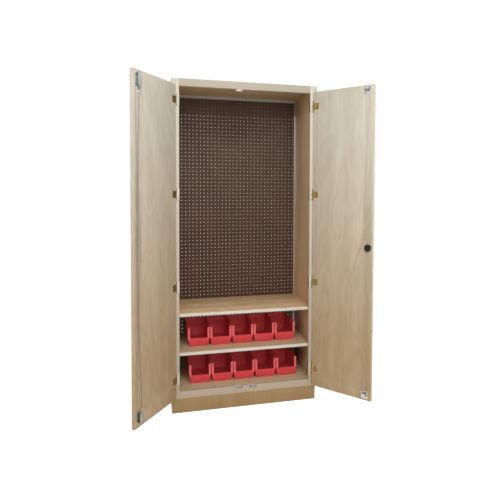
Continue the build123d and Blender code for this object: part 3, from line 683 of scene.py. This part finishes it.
@dataclass
class Assembly:
    """Sub-assembly of the cabinet, with what all of them need to make their pieces."""

    cabinet: Cabinet

    def points(self, node: str) -> list[Vector]:
        """Give the places of a node's points."""
        return [point.co for point in self.cabinet.frame["nodes"][node].data.vertices]

    def seat(self, piece: Piece, node: str, finish: str) -> None:
        """Finish a piece, put it on its node's body in place of the node, and report it.

        Args:
            piece: Shaped piece.
            node: Node that it stands for.
            finish: Name of its finish.
        """
        body = self.cabinet.body_of[node]
        piece.data.materials.clear()
        piece.data.materials.append(self.cabinet.finishes.get(finish))
        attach(piece, body)
        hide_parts(node)
        LOG.info("%s: %d faces, on %s", piece.name, len(piece.data.polygons), body)

    def paint(self, piece: Piece, finish: str, wanted: FaceTest) -> None:
        """Give the faces of a piece that pass a test another finish.

        Args:
            piece: Finished piece.
            finish: Name of the other finish.
            wanted: Test of a face's centre and normal.
        """
        piece.data.materials.append(self.cabinet.finishes.get(finish))
        for face in piece.data.polygons:
            if wanted(face.center, face.normal):
                face.material_index = 1

    def softened(self, node: str, width: float, finish: str, segments: int = 2) -> Piece:
        """Copy a node's shape, ease its edges, finish it and seat it in the node's place.

        Args:
            node: Node to copy.
            width: Width of the eased edges.
            finish: Name of its finish.
            segments: Facets across each eased edge.

        Returns:
            The finished piece.
        """
        piece = copied(self.cabinet.frame["nodes"][node], f"{node}_finished")
        with bench(piece):
            bpy.ops.mesh.select_all(action="SELECT")
            bpy.ops.mesh.remove_doubles(threshold=0.005 * MM)
            bpy.ops.mesh.dissolve_limited(angle_limit=math.radians(0.4))
        ease_edges(piece, width, segments)
        smooth(piece)
        self.seat(piece, node, finish)
        return piece

    def door_axes(self, side: Side) -> Matrix:
        """Give the place of an open door's back.

        Args:
            side: Side that the door hangs on.

        Returns:
            A matrix from the door's own axes, x from the hinge axis towards the free edge, y from the
            door's back into the cabinet and z up, to the frame's.
        """
        joint = self.cabinet.joints[f"{side.word}_door_swing"]
        closed = math.radians(-joint["range_deg"][0])
        along = Vector((-side.value * math.cos(closed), -math.sin(closed), 0))
        inward = Vector((-side.value * math.sin(closed), math.cos(closed), 0))
        pivot = Vector((*joint["pos_m"][:2], 0))
        back = max((point - pivot).dot(inward) for point in self.points(f"{side.word}_door_panel"))
        return axes(along, inward, UP, pivot + inward * back)


@dataclass
class Woodwork(Assembly):
    """Boards of the carcass, the face frame, the plinth and the doors.

    Attributes:
        board_edge: Easing on the carcass's boards and the lippings.
        band_depth: Depth to which the pale band, the edge band with a painted highlight, shows on the face
            frame's inner edges.
        knot_inset: Distance of the knot from the right door's free edge.
        strip_width: Widest that the painted highlight strip at that edge can be.
    """

    board_edge: float = 0.5 * MM
    frame_edge: float = 0.9 * MM
    panel_edge: float = 0.15 * MM
    boards: dict[str, str] = field(
        default_factory=lambda: {
            "left_side_panel": "maple_side",
            "right_side_panel": "maple_side",
            "top_panel": "maple_ceiling",
            "bottom_panel": "maple_low_flat",
            "upper_back_rail": "maple_back_rail",
            "lower_back_rail": "maple_flat",
            "plinth_back": "maple_flat",
            "plinth_centre": "maple_flat",
            "fixed_shelf": "maple_shelf",
            "lower_shelf": "maple_low_flat",
            "shelf_edge_bands": "edge_band",
            "plinth_front": "maple_plinth",
        }
    )
    band_depth: float = 0.3 * MM
    knot_height: float = 525.0 * MM
    knot_inset: float = 4.0 * MM
    strip_width: float = 15.0 * MM

    def build(self) -> None:
        """Make every board."""
        for node, finish in self.boards.items():
            self.softened(node, self.board_edge, finish)
        self.face_frame()
        for side in Side:
            self.softened(f"{side.word}_door_panel", self.panel_edge, "maple_door")
        self.softened("left_door_lipping", self.board_edge, "maple_door")
        self.right_lipping()

    def face_frame(self) -> None:
        """Make the stiles and rails, with a pale band on the edges that look into the opening: the edge
        band's own tone with a painted highlight.
        """
        left = self.softened("left_stile", self.frame_edge, "maple_stile")
        left_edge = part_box("left_stile")[1].x - self.band_depth
        self.paint(left, "band_upright", lambda centre, normal: centre.x > left_edge)
        right = self.softened("right_stile", self.frame_edge, "maple_stile")
        right_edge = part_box("right_stile")[0].x + self.band_depth
        self.paint(right, "band_upright", lambda centre, normal: centre.x < right_edge)
        top = self.softened("top_rail", self.frame_edge, "maple_rail")
        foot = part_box("top_rail")[0].z + self.band_depth
        self.paint(top, "band_upright", lambda centre, normal: centre.z < foot and normal.z < -FACING)
        self.softened("bottom_rail", self.frame_edge, "maple_rail")

    def right_lipping(self) -> None:
        """Finish the right door's lipping, with a paler strip as a painted highlight and a small knot down
        its free edge.
        """
        piece = self.softened("right_door_lipping", self.board_edge, "maple_door")
        place = self.door_axes(Side.RIGHT)
        into_door = place.inverted()
        points = [into_door @ vertex.co for vertex in piece.data.vertices]
        free_edge = max(point.x for point in points)
        back = max(point.y for point in points)
        knot = place @ Vector((free_edge - self.knot_inset, back, self.knot_height))
        plans = self.cabinet.finishes.plans
        plans["maple_lipping"] = replace(plans["maple_lipping"], knot=tuple(knot))
        # Painted highlight: the faces near the free edge take the paler lipping finish.
        strip = free_edge - self.strip_width
        self.paint(piece, "maple_lipping", lambda centre, normal: (into_door @ centre).x > strip)


@dataclass
class PegBoard(Assembly):
    """Perforated panel: one cell with its hole, repeated over the board and then thickened.

    Attributes:
        corners: Points round a hole.
        slack: Share of a pitch by which the board may fall short of a whole hole.
        weld: Distance within which neighbouring cells are joined.
    """

    pitch: float = 25.4 * MM
    hole_radius: float = 2.38 * MM
    corners: int = 12
    slack: float = 0.01
    weld: float = 0.02 * MM

    def build(self) -> None:
        """Make the perforated panel, with the rest of its width and height as even margins."""
        low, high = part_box("pegboard")
        piece = self.cell()
        start = Vector((low.x, high.y, low.z))
        for axis, size in ((0, high.x - low.x), (1, high.z - low.z)):
            count = int(size / self.pitch + self.slack)
            step = Vector((0, 0, 0))
            step[axis] = self.pitch
            use_modifier(
                piece, "ARRAY", count=count, use_relative_offset=False, use_constant_offset=True,
                constant_offset_displace=step, use_merge_vertices=True, merge_threshold=self.weld,
            )
            margin = step * (size / self.pitch - count) / 2
            with bench(piece):
                shift_points(piece, lambda point: point[axis] < NEAR, -margin)
                shift_points(piece, lambda point: point[axis] > count * self.pitch - NEAR, margin)
            start += Vector((margin.x, 0, margin.y))
        piece.data.transform(Matrix.Translation(start) @ Matrix.Rotation(math.radians(90), 4, "X"))
        use_modifier(piece, "SOLIDIFY", thickness=high.y - low.y, offset=-1.0)
        with bench(piece):
            bpy.ops.mesh.select_all(action="SELECT")
            bpy.ops.mesh.normals_make_consistent(inside=False)
        front = min(point.co.y for point in piece.data.vertices)
        piece.data.transform(Matrix.Translation((0, low.y - front, 0)))
        self.seat(piece, "pegboard", "hardboard")

    def cell(self) -> Piece:
        """Make one square of the board with a hole in its middle.

        Returns:
            The square, from the origin to one pitch along x and y.
        """
        clear_selection()
        side = self.corners // 4
        middle = (self.pitch / 2, self.pitch / 2, 0)
        bpy.ops.mesh.primitive_grid_add(
            x_subdivisions=side, y_subdivisions=side, size=self.pitch, location=middle
        )
        piece = settled("pegboard_holed")
        with bench(piece):
            pick_points(piece, lambda point: all(NEAR < each < self.pitch - NEAR for each in point.xy))
            bpy.ops.mesh.delete(type="VERT")
            bpy.ops.mesh.select_all(action="SELECT")
            bpy.ops.mesh.delete(type="ONLY_FACE")
            bpy.ops.mesh.primitive_circle_add(
                vertices=self.corners, radius=self.hole_radius, fill_type="NOTHING", location=middle
            )
            bpy.ops.mesh.select_all(action="SELECT")
            bpy.ops.mesh.bridge_edge_loops()
        return piece


@dataclass
class HopperBins(Assembly):
    """Ten moulded bins, modelled once: flared shell, open front, rolled lip, rim and ribs.

    Attributes:
        lip_height: Height of the front lip, up to which the sides flare and the front leans out.
        front_lean: How far the lip stands out over the foot of the front.
        back_lean: How far the back's top stands out over its foot.
        upright_lean: How far the uprights beside the open front lean back.
        rim_height: Height of the thick band round the top.
        rim_width: How far the band stands out.
        roll_depth: How far the rolled lip stands into the bin.
        rib_shares: Heights of the back's ribs as shares of the bin's height.
        size: Width, depth and height of a bin, read from the frame.
    """

    wall: float = 2.2 * MM
    floor_width: float = 118.0 * MM
    lip_height: float = 54.0 * MM
    front_lean: float = 12.0 * MM
    back_lean: float = 12.0 * MM
    upright_lean: float = 5.0 * MM
    opening_width: float = 110.0 * MM
    rim_height: float = 7.0 * MM
    rim_width: float = 1.0 * MM
    roll_depth: float = 2.8 * MM
    roll_height: float = 7.0 * MM
    rib_shares: tuple[float, ...] = (0.5, 0.62, 0.74)
    rib_depth: float = 1.6 * MM
    rib_height: float = 3.0 * MM
    edge: float = 0.6 * MM
    size: Vector = field(default_factory=Vector)

    def build(self) -> None:
        """Make one bin and set a copy in each bin's place, with a painted highlight on the edges that face
        up and forward.
        """
        low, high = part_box("upper_bin_1")
        self.size = high - low
        model = self.shell()
        for row in ("upper", "lower"):
            for number in range(1, 6):
                node = f"{row}_bin_{number}"
                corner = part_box(node)[0]
                place = Matrix.Translation(corner + Vector((self.size.x / 2, 0, 0)))
                piece = copied(model, f"{node}_moulded", place)
                smooth(piece, 40)
                self.seat(piece, node, "bin_plastic")
                # Painted highlight: the lip's top, the uprights' fronts and the rim's top take the paler
                # finish.
                self.paint(piece, "bin_edge", lambda centre, normal: self.worn(centre - corner, normal))
        bpy.data.objects.remove(model)

    def worn(self, place: Vector, normal: Vector) -> bool:
        """Tell whether a face is on the lip's top, the uprights' fronts or the rim's top.

        Args:
            place: Centre of the face from the bin's lowest corner.
            normal: Normal of the face.

        Returns:
            Whether it takes the painted highlight.
        """
        slack, facing = 1.0 * MM, 0.7
        in_front = place.y < self.front_lean
        on_lip = abs(place.z - self.lip_height) < slack and in_front and normal.z > facing
        on_upright = place.z > self.lip_height + slack and in_front and normal.y < -facing
        return on_lip or on_upright or (place.z > self.size.z - slack and normal.z > facing)

    def shell(self) -> Piece:
        """Model one bin with the middle of its lip's foot at the origin.

        Returns:
            The finished bin.
        """
        half = self.size.x / 2 - self.rim_width
        deep = self.size.y - self.rim_width
        tall = self.size.z
        piece = blank("bin_model", (-half, 0, 0), (half, deep, tall))
        with bench(piece):
            for height in self.levels[1:4]:
                self.slice(height * UP, UP)
            self.flare(piece, half)
            pick_faces(piece, lambda centre, normal: centre.z > tall - NEAR)
            bpy.ops.mesh.delete(type="FACE")
            for side in Side:
                across = Vector((side.value, 0, 0))
                self.slice(across * self.opening_width / 2, across)

            def in_opening(centre: Vector, normal: Vector) -> bool:
                """Tell whether a face closes the open front."""
                in_middle = abs(centre.x) < self.opening_width / 2
                return normal.y < -FACING and centre.z > self.lip_height and in_middle

            pick_faces(piece, in_opening)
            bpy.ops.mesh.delete(type="FACE")
        use_modifier(piece, "SOLIDIFY", thickness=self.wall, offset=-1.0, use_even_offset=True)
        with bench(piece):
            self.raise_details(piece, deep)
        ease_edges(piece, self.edge, 2, 25)
        return piece

    @property
    def levels(self) -> tuple[float, ...]:
        """Heights of the floor, the roll's foot, the lip, the rim's foot and the top."""
        tall = self.size.z
        return 0.0, self.lip_height - self.roll_height, self.lip_height, tall - self.rim_height, tall

    @staticmethod
    def slice(place: Vector, way: Vector) -> None:
        """Cut an edge loop round the piece on the bench where a plane meets it."""
        bpy.ops.mesh.select_all(action="SELECT")
        bpy.ops.mesh.bisect(plane_co=place, plane_no=way)

    def flare(self, piece: Piece, half: float) -> None:
        """Draw in the bin's foot and lean its front and back.

        Args:
            piece: Block of the bin, on the bench.
            half: Half of the shell's width at the top.
        """
        floor, roll_foot, lip, rim_foot, tall = self.levels
        foot_half = self.floor_width / 2
        at_roll = foot_half + (half - foot_half) * roll_foot / lip
        for height, wide in ((floor, foot_half), (roll_foot, at_roll)):
            pick_points(piece, lambda point: abs(point.z - height) < NEAR)
            bpy.ops.transform.resize(value=(wide / half, 1, 1), center_override=(0, 0, 0))
        shift_points(piece, lambda point: max(point.yz) < NEAR, (0, self.front_lean, 0))
        middle = self.size.y / 2
        for height in (floor, roll_foot, lip, rim_foot):
            move = (0, self.back_lean * (height / tall - 1), 0)
            shift_points(piece, lambda point: abs(point.z - height) < NEAR and point.y > middle, move)
        for height in (rim_foot, tall):
            move = (0, self.upright_lean * (height - lip) / (tall - lip), 0)
            shift_points(piece, lambda point: abs(point.z - height) < NEAR and point.y < NEAR, move)

    def raise_details(self, piece: Piece, deep: float) -> None:
        """Raise the band round the top, the rolled lip and the back's level ribs.

        Args:
            piece: Shell of the bin, on the bench.
            deep: Depth of the shell.
        """
        roll_foot, lip, rim_foot = self.levels[1:4]
        far = deep * 0.9
        ribs = [self.size.z * share for share in self.rib_shares]

        def on_rim(centre: Vector, normal: Vector) -> bool:
            """Tell whether a face is outside on the band round the top."""
            on_side = normal.x * centre.x > 0 and abs(normal.x) > FACING
            return centre.z > rim_foot and (on_side or normal.y > FACING and centre.y > far)

        def on_roll(centre: Vector, normal: Vector) -> bool:
            """Tell whether a face is inside the lip, where the roll is."""
            return roll_foot < centre.z < lip and centre.y < 2 * self.wall and normal.y > FACING

        def on_back(centre: Vector, normal: Vector) -> bool:
            """Tell whether a face is inside the back."""
            return normal.y < -FACING and centre.y > far

        def on_rib(centre: Vector, normal: Vector) -> bool:
            """Tell whether a face is inside the back and on a rib."""
            near = self.rib_height / 3
            return on_back(centre, normal) and any(abs(centre.z - rib) < near for rib in ribs)

        swell(piece, on_rim, self.rim_width)
        swell(piece, on_roll, self.roll_depth)
        for rib in ribs:
            for height in (rib - self.rib_height / 2, rib + self.rib_height / 2):
                pick_faces(piece, on_back)
                bpy.ops.mesh.bisect(plane_co=height * UP, plane_no=UP)
        swell(piece, on_rib, self.rib_depth)


@dataclass
class Screws(Assembly):
    """Every visible screw: a domed head with a cross recess, set where the frame has its plain ones.

    Attributes:
        recess_width: Width of each arm of the cross.
        recess_reach: Reach of the cross as a share of the head's radius.
        dome: Share of the head's height that is rounded.
        turn: Turn from one screw to the next, in radians.
        sizes: Head radius, head height, shank radius and shank length of each kind, in millimetres.
        models: Modelled screws, one of each kind.
    """

    recess_width: float = 0.9 * MM
    recess_depth: float = 0.9 * MM
    recess_reach: float = 0.62
    dome: float = 0.7
    turn: float = 0.7
    head_sides: int = 20
    shank_sides: int = 8
    sizes: tuple[tuple[float, ...], ...] = ((3.2, 1.6, 1.6, 13), (4.0, 1.8, 1.6, 13), (4.8, 2.4, 2.0, 27))
    models: list[Piece] = field(default_factory=list)

    def build(self) -> None:
        """Make the screws of the frame, the doors and the pulls."""
        self.models = [self.model(*(size * MM for size in row)) for row in self.sizes]
        for side in Side:
            inward = self.door_axes(side).col[1].to_3d()
            self.set_group(f"{side.word}_door_screws", [inward], "dark_steel")
            self.set_group(f"{side.word}_pull_screws", [inward], "satin_nickel")
        self.set_group("frame_screws", [Vector((1, 0, 0)), Vector((-1, 0, 0)), -UP], "dark_steel")
        for model in self.models:
            bpy.data.objects.remove(model)

    def model(self, head_radius: float, head_height: float, shank_radius: float, shank: float) -> Piece:
        """Model one screw with its head's seat at the origin and its head up.

        Args:
            head_radius: Radius of the head.
            head_height: Height of the head.
            shank_radius: Radius of the shank.
            shank: Length of the shank.

        Returns:
            The finished screw.
        """
        piece = rod("screw_model", head_radius, 0, head_height, self.head_sides)
        with bench(piece):
            pick_points(piece, lambda point: point.z > head_height - NEAR)
            bpy.ops.mesh.bevel(offset=head_height * self.dome, segments=3, affect="EDGES")
        arm = head_radius * self.recess_reach
        half = self.recess_width / 2
        for wide, deep in ((arm, half), (half, arm)):
            low = (-wide, -deep, head_height - self.recess_depth)
            cutter = blank("recess", low, (wide, deep, head_height * 2))
            use_modifier(piece, "BOOLEAN", operation="DIFFERENCE", object=cutter, solver="EXACT")
            bpy.data.objects.remove(cutter)
        stem = rod("stem", shank_radius, -shank, 0.05 * MM, self.shank_sides)
        piece = joined([piece, stem], "screw_model")
        smooth(piece, 40)
        return piece

    def set_group(self, node: str, ways: Sequence[Vector], finish: str) -> None:
        """Set a copy of a screw at each plain screw of a node.

        Args:
            node: Node with the plain screws.
            ways: Directions that the heads may point in.
            finish: Name of the finish.
        """
        copies = []
        for number, points in enumerate(self.islands(node)):
            way = max(ways, key=lambda each: self.head(points, each)[1])
            centre, radius = self.head(points, way)
            model = min(self.models, key=lambda each: abs(each.dimensions.x / 2 - radius))
            height = max(point.co.z for point in model.data.vertices)
            turn = way.to_track_quat("Z", "Y").to_matrix().to_4x4()
            turn = turn @ Matrix.Rotation(self.turn * number, 4, "Z")
            place = Matrix.Translation(centre - way * height) @ turn
            copies.append(copied(model, f"{node}_{number}", place))
        self.seat(joined(copies, f"{node}_cross_headed"), node, finish)

    @staticmethod
    def head(points: Sequence[Vector], way: Vector) -> tuple[Vector, float]:
        """Find the far end of a plain screw along a direction.

        Args:
            points: Points of the screw.
            way: Direction to look along.

        Returns:
            Centre of the end, and the widest distance of the end's points from it.
        """
        top = max(point.dot(way) for point in points)
        rim = [point for point in points if top - point.dot(way) < 0.01 * MM]
        centre = sum(rim, Vector()) / len(rim)
        return centre, max((point - centre).length for point in rim)

    def islands(self, node: str) -> list[list[Vector]]:
        """Split a node's mesh into its separate solids, in the same order each run.

        Args:
            node: Node to split.

        Returns:
            Points of each solid, from the lowest solid up.
        """
        mesh = bmesh.new()
        mesh.from_mesh(self.cabinet.frame["nodes"][node].data)
        bmesh.ops.remove_doubles(mesh, verts=mesh.verts, dist=0.005 * MM)
        groups = []
        left = set(mesh.verts)
        while left:
            stack = [left.pop()]
            group = []
            while stack:
                point = stack.pop()
                group.append(point.co.copy())
                others = {edge.other_vert(point) for edge in point.link_edges} & left
                left -= others
                stack.extend(others)
            groups.append(sorted(group, key=tuple))
        mesh.free()
        return sorted(groups, key=lambda each: [round(min(p[axis] for p in each), 4) for axis in (2, 0, 1)])


@dataclass
class Fittings(Assembly):
    """Hinges, latches, catches, strikes, lock, pulls and shelf pins.

    Attributes:
        plain: Easing in millimetres and finish of each plain fitting.
        plate: Thickness of the plates that the cases stand on.
        flank_facing: How nearly a case's side may face as the case's front does.
        ring: Thickness of the lock's bright ring.
        wire_lead: Straight length at each end of the wire between the latches.
        wire_bow: Half of the length over which the wire stands fully bowed.
    """

    plain: dict[str, tuple[float, str]] = field(
        default_factory=lambda: {
            # Painted shade: the left door's hinge leaves take a darker copy of the brass.
            "left_door_hinge_leaves": (0.25, "dark_brass"),
            "right_door_hinge_leaves": (0.25, "aged_brass"),
            "hinge_pins": (0.5, "aged_brass"),
            "upper_latch_bolt": (0.8, "satin_nickel"),
            "lower_latch_bolt": (0.8, "satin_nickel"),
            "upper_catch_plunger": (0.3, "satin_nickel"),
            "lower_catch_plunger": (0.3, "satin_nickel"),
            "upper_strikes": (0.3, "zinc_plate"),
            # Painted shade: the lower strikes take a darker copy of the plate.
            "lower_strikes": (0.3, "strike_plate"),
            "wire_guides": (0.8, "guide_plastic"),
            "shelf_pins": (0.4, "satin_nickel"),
            "lock_barrel": (0.5, "satin_nickel"),
            "lock_plug": (0.3, "satin_nickel"),
            "lock_bolt": (0.5, "satin_nickel"),
            "left_pull": (0.3, "satin_nickel"),
            "right_pull": (0.3, "satin_nickel"),
        }
    )
    case_edge: float = 0.8 * MM
    plate: float = 1.6 * MM
    flank_facing: float = 0.6
    ring: float = 3.2 * MM
    wire_radius: float = 1.1 * MM
    wire_lead: float = 40.0 * MM
    wire_bow: float = 260.0 * MM

    def build(self) -> None:
        """Make every fitting."""
        for node, (width, finish) in self.plain.items():
            self.softened(node, width * MM, finish)
        self.frame_leaves()
        # Painted shade: each case's sides take the darker flank finish.
        self.cased(Side.LEFT, "upper_latch_case", "zinc_plate", "case_side")
        # Painted shade: the lower latch takes darker copies of the plate and the sides.
        self.cased(Side.LEFT, "lower_latch_case", "case_low", "case_low_side")
        # Painted shade: the catches' case sides take the dark finish.
        self.cased(Side.RIGHT, "upper_catch_case", "zinc_plate", "catch_side")
        self.cased(Side.RIGHT, "lower_catch_case", "zinc_plate", "catch_side")
        self.lock()
        self.wire()

    def frame_leaves(self) -> None:
        """Finish the tall hinge leaves: brass darkened as painted shade, with a pale painted reflection
        where they lie on the stiles' fronts.
        """
        piece = self.softened("frame_hinge_leaves", 0.25 * MM, "dull_brass")
        # Painted reflection: the faces that look straight forward take the pale finish.
        self.paint(piece, "pale_leaf", lambda centre, normal: normal.y < -0.99)

    def cased(self, side: Side, node: str, face: str, flank: str) -> None:
        """Finish a fitting in pale plate, with the sides of its case painted darker as painted shade.

        Args:
            side: Side of the door that it is on.
            node: Node of the fitting.
            face: Name of the finish of its plate and of its case's face.
            flank: Name of the darker finish painted on its case's sides as shade.
        """
        piece = self.softened(node, self.case_edge, face, 3)
        place = self.door_axes(side).inverted()

        def on_flank(centre: Vector, normal: Vector) -> bool:
            """Tell whether a face is on the sides of the case."""
            return (place @ centre).y > self.plate and (place.to_3x3() @ normal).y < self.flank_facing

        # Painted shade: the faces that turn away from the case's front take the darker finish.
        self.paint(piece, flank, on_flank)

    def lock(self) -> None:
        """Finish the lock's case in black with a bright ring."""
        piece = self.softened("lock_case", self.case_edge, "black_enamel", 3)
        place = self.door_axes(Side.RIGHT).inverted()
        self.paint(piece, "satin_nickel", lambda centre, normal: (place @ centre).y < self.ring)

    def wire(self) -> None:
        """Make the thin wire that joins the two latches, bowed between its guides."""
        matrix = self.door_axes(Side.LEFT)
        local = [matrix.inverted() @ point for point in self.points("latch_wire")]
        heights = [point.z for point in local]
        top, foot = max(heights), min(heights)
        out = sum(point.y for point in local) / len(local)
        bow = max(point.x for point in local) - self.wire_radius

        def end_at(height: float) -> float:
            """Give the place across the door of the wire's end at a height."""
            near = [point.x for point in local if abs(point.z - height) < 1 * MM]
            return sum(near) / len(near)

        upper, lower = end_at(top), end_at(foot)
        middle = (top + foot) / 2
        stops = (
            (upper, top), (upper, top - self.wire_lead), (bow, middle + self.wire_bow),
            (bow, middle - self.wire_bow), (lower, foot + self.wire_lead), (lower, foot),
        )
        curve = bpy.data.curves.new("latch_wire_bowed", "CURVE")
        curve.dimensions = "3D"
        curve.bevel_depth = self.wire_radius
        curve.bevel_resolution = 3
        curve.use_fill_caps = True
        spline = curve.splines.new("NURBS")
        spline.points.add(len(stops) - 1)
        for point, (across, height) in zip(spline.points, stops):
            point.co = (*(matrix @ Vector((across, out, height))), 1)
        spline.order_u = 3
        spline.use_endpoint_u = True
        spline.resolution_u = 24
        piece = bpy.data.objects.new("latch_wire_bowed", curve)
        bpy.context.scene.collection.objects.link(piece)
        choose(piece)
        bpy.ops.object.convert(target="MESH")
        smooth(piece, 60)
        self.seat(piece, "latch_wire", "wire_steel")


@dataclass
class Studio:
    """Pale floor, soft lights and the camera.

    Attributes:
        yaw: Turn of the view from +Y towards +X, in radians.
        pitch: Rise of the view, in radians.
        roll: Turn of the camera about its view, right side up, in radians.
        shift: Shift of the frame, as a share of its width.
        sight: Farthest distance that the camera sees.
        floor_glow: Light of the floor towards the camera.
        floor_drop: Distance of the floor below the cabinet's foot, so that the two don't flicker.
        sky: Colour of the world's light.
        lamps: Name, place, aim, width and power of each square lamp.
    """

    camera_place: Reach = (-0.5997, -3.3132, 1.3763)
    yaw: float = 0.2644
    pitch: float = -0.0377
    roll: float = 0.0056
    lens: float = 36.19
    sensor: float = 36.0
    shift: Reach = (-0.0661, -0.0849)
    sight: float = 50.0
    floor_size: float = 24.0
    floor_drop: float = 0.5 * MM
    floor_colour: Reach = (0.8, 0.8, 0.8, 1)
    floor_glow: float = 0.82
    sky: Reach = (0.92, 0.95, 1.0, 1)
    sky_strength: float = 0.38
    lamps: tuple[tuple, ...] = (
        ("key", (-0.25, -3.7, 3.3), (0.0, 0.0, 1.0), 2.6, 114.0),
        ("fill", (0.1, -4.8, 1.3), (0.0, 0.0, 0.8), 2.6, 46.0),
        ("back", (0.6, 3.4, 2.6), (0.0, 0.0, 1.2), 2.4, 20.0),
    )

    def build(self) -> None:
        """Make the camera, the floor, the lamps and the world."""
        bpy.context.scene.view_settings.view_transform = "Standard"
        self.set_camera()
        self.lay_floor()
        for name, place, aim, size, power in self.lamps:
            data = bpy.data.lights.new(name, "AREA")
            data.shape = "SQUARE"
            data.size = size
            data.energy = power
            turn = (Vector(aim) - Vector(place)).to_track_quat("-Z", "Y").to_matrix().to_4x4()
            self.put(name, data, Matrix.Translation(place) @ turn)
        self.light_world()

    @staticmethod
    def put(name: str, data: bpy.types.ID, place: Matrix) -> bpy.types.Object:
        """Put a lamp or a camera in the scene.

        Args:
            name: Name of the object.
            data: Lamp or camera.
            place: Where it goes.

        Returns:
            The new object.
        """
        item = bpy.data.objects.new(name, data)
        bpy.context.scene.collection.objects.link(item)
        item.matrix_world = place
        return item

    def set_camera(self) -> None:
        """Make the camera at the photograph's place."""
        level = Vector((math.cos(self.yaw), -math.sin(self.yaw), 0))
        ahead = Vector((math.sin(self.yaw), math.cos(self.yaw), 0))
        forward = ahead * math.cos(self.pitch) + UP * math.sin(self.pitch)
        upright = level.cross(forward)
        right = level * math.cos(self.roll) + upright * math.sin(self.roll)
        up = upright * math.cos(self.roll) - level * math.sin(self.roll)
        data = bpy.data.cameras.new("camera")
        data.lens = self.lens
        data.sensor_width = self.sensor
        data.shift_x, data.shift_y = self.shift
        data.clip_end = self.sight
        place = axes(right, up, -forward, Vector(self.camera_place))
        bpy.context.scene.camera = self.put("camera", data, place)

    def lay_floor(self) -> None:
        """Make the floor, white to the camera apart from the cabinet's soft shadow."""
        clear_selection()
        bpy.ops.mesh.primitive_plane_add(size=self.floor_size, location=(0, 0, -self.floor_drop))
        plane = settled("floor")
        sheet = FinishSheet("pale_floor")
        pale = {"Base Color": self.floor_colour, "Roughness": 0.9, "Specular IOR Level": 0.0}
        for key, value in pale.items():
            sheet.fill(sheet.shader.inputs[key], value)
        seen = sheet.add("ShaderNodeLightPath").outputs
        share = sheet.combine(seen["Is Camera Ray"], seen["Is Glossy Ray"], "MAXIMUM")
        strength = sheet.span(share, 0.0, 1.0, 0.0, self.floor_glow)
        glow = sheet.add("ShaderNodeEmission", {"Color": WHITE, "Strength": strength})
        both = sheet.add("ShaderNodeAddShader", {0: sheet.shader.outputs["BSDF"], 1: glow.outputs[0]})
        sheet.fill(sheet.output.inputs["Surface"], both.outputs[0])
        plane.data.materials.append(sheet.material)

    def light_world(self) -> None:
        """Make a soft grey world that looks white to the camera, to gloss and through glass."""
        world = bpy.data.worlds.new("studio")
        bpy.context.scene.world = world
        sheet = NodeSheet(world)
        seen = sheet.add("ShaderNodeLightPath").outputs
        share = sheet.combine(seen["Is Camera Ray"], seen["Is Transmission Ray"], "MAXIMUM")
        share = sheet.combine(share, seen["Is Glossy Ray"], "MAXIMUM")
        dim = sheet.add("ShaderNodeBackground", {"Color": self.sky, "Strength": self.sky_strength})
        white = sheet.add("ShaderNodeBackground", {"Color": WHITE, "Strength": 1.0})
        blend = sheet.add("ShaderNodeMixShader", {0: share, 1: dim.outputs[0], 2: white.outputs[0]})
        sheet.add("ShaderNodeOutputWorld", {"Surface": blend.outputs[0]})


def main() -> None:
    """Build the cabinet's looks, sub-assembly by sub-assembly."""
    logging.basicConfig(level=logging.INFO, format="%(name)s: %(message)s")
    cabinet = Cabinet()
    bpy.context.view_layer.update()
    Studio().build()
    for kind in (Woodwork, PegBoard, HopperBins, Fittings, Screws):
        kind(cabinet).build()
        LOG.info("%s done", kind.__name__)


if __name__ == "__main__":
    main()
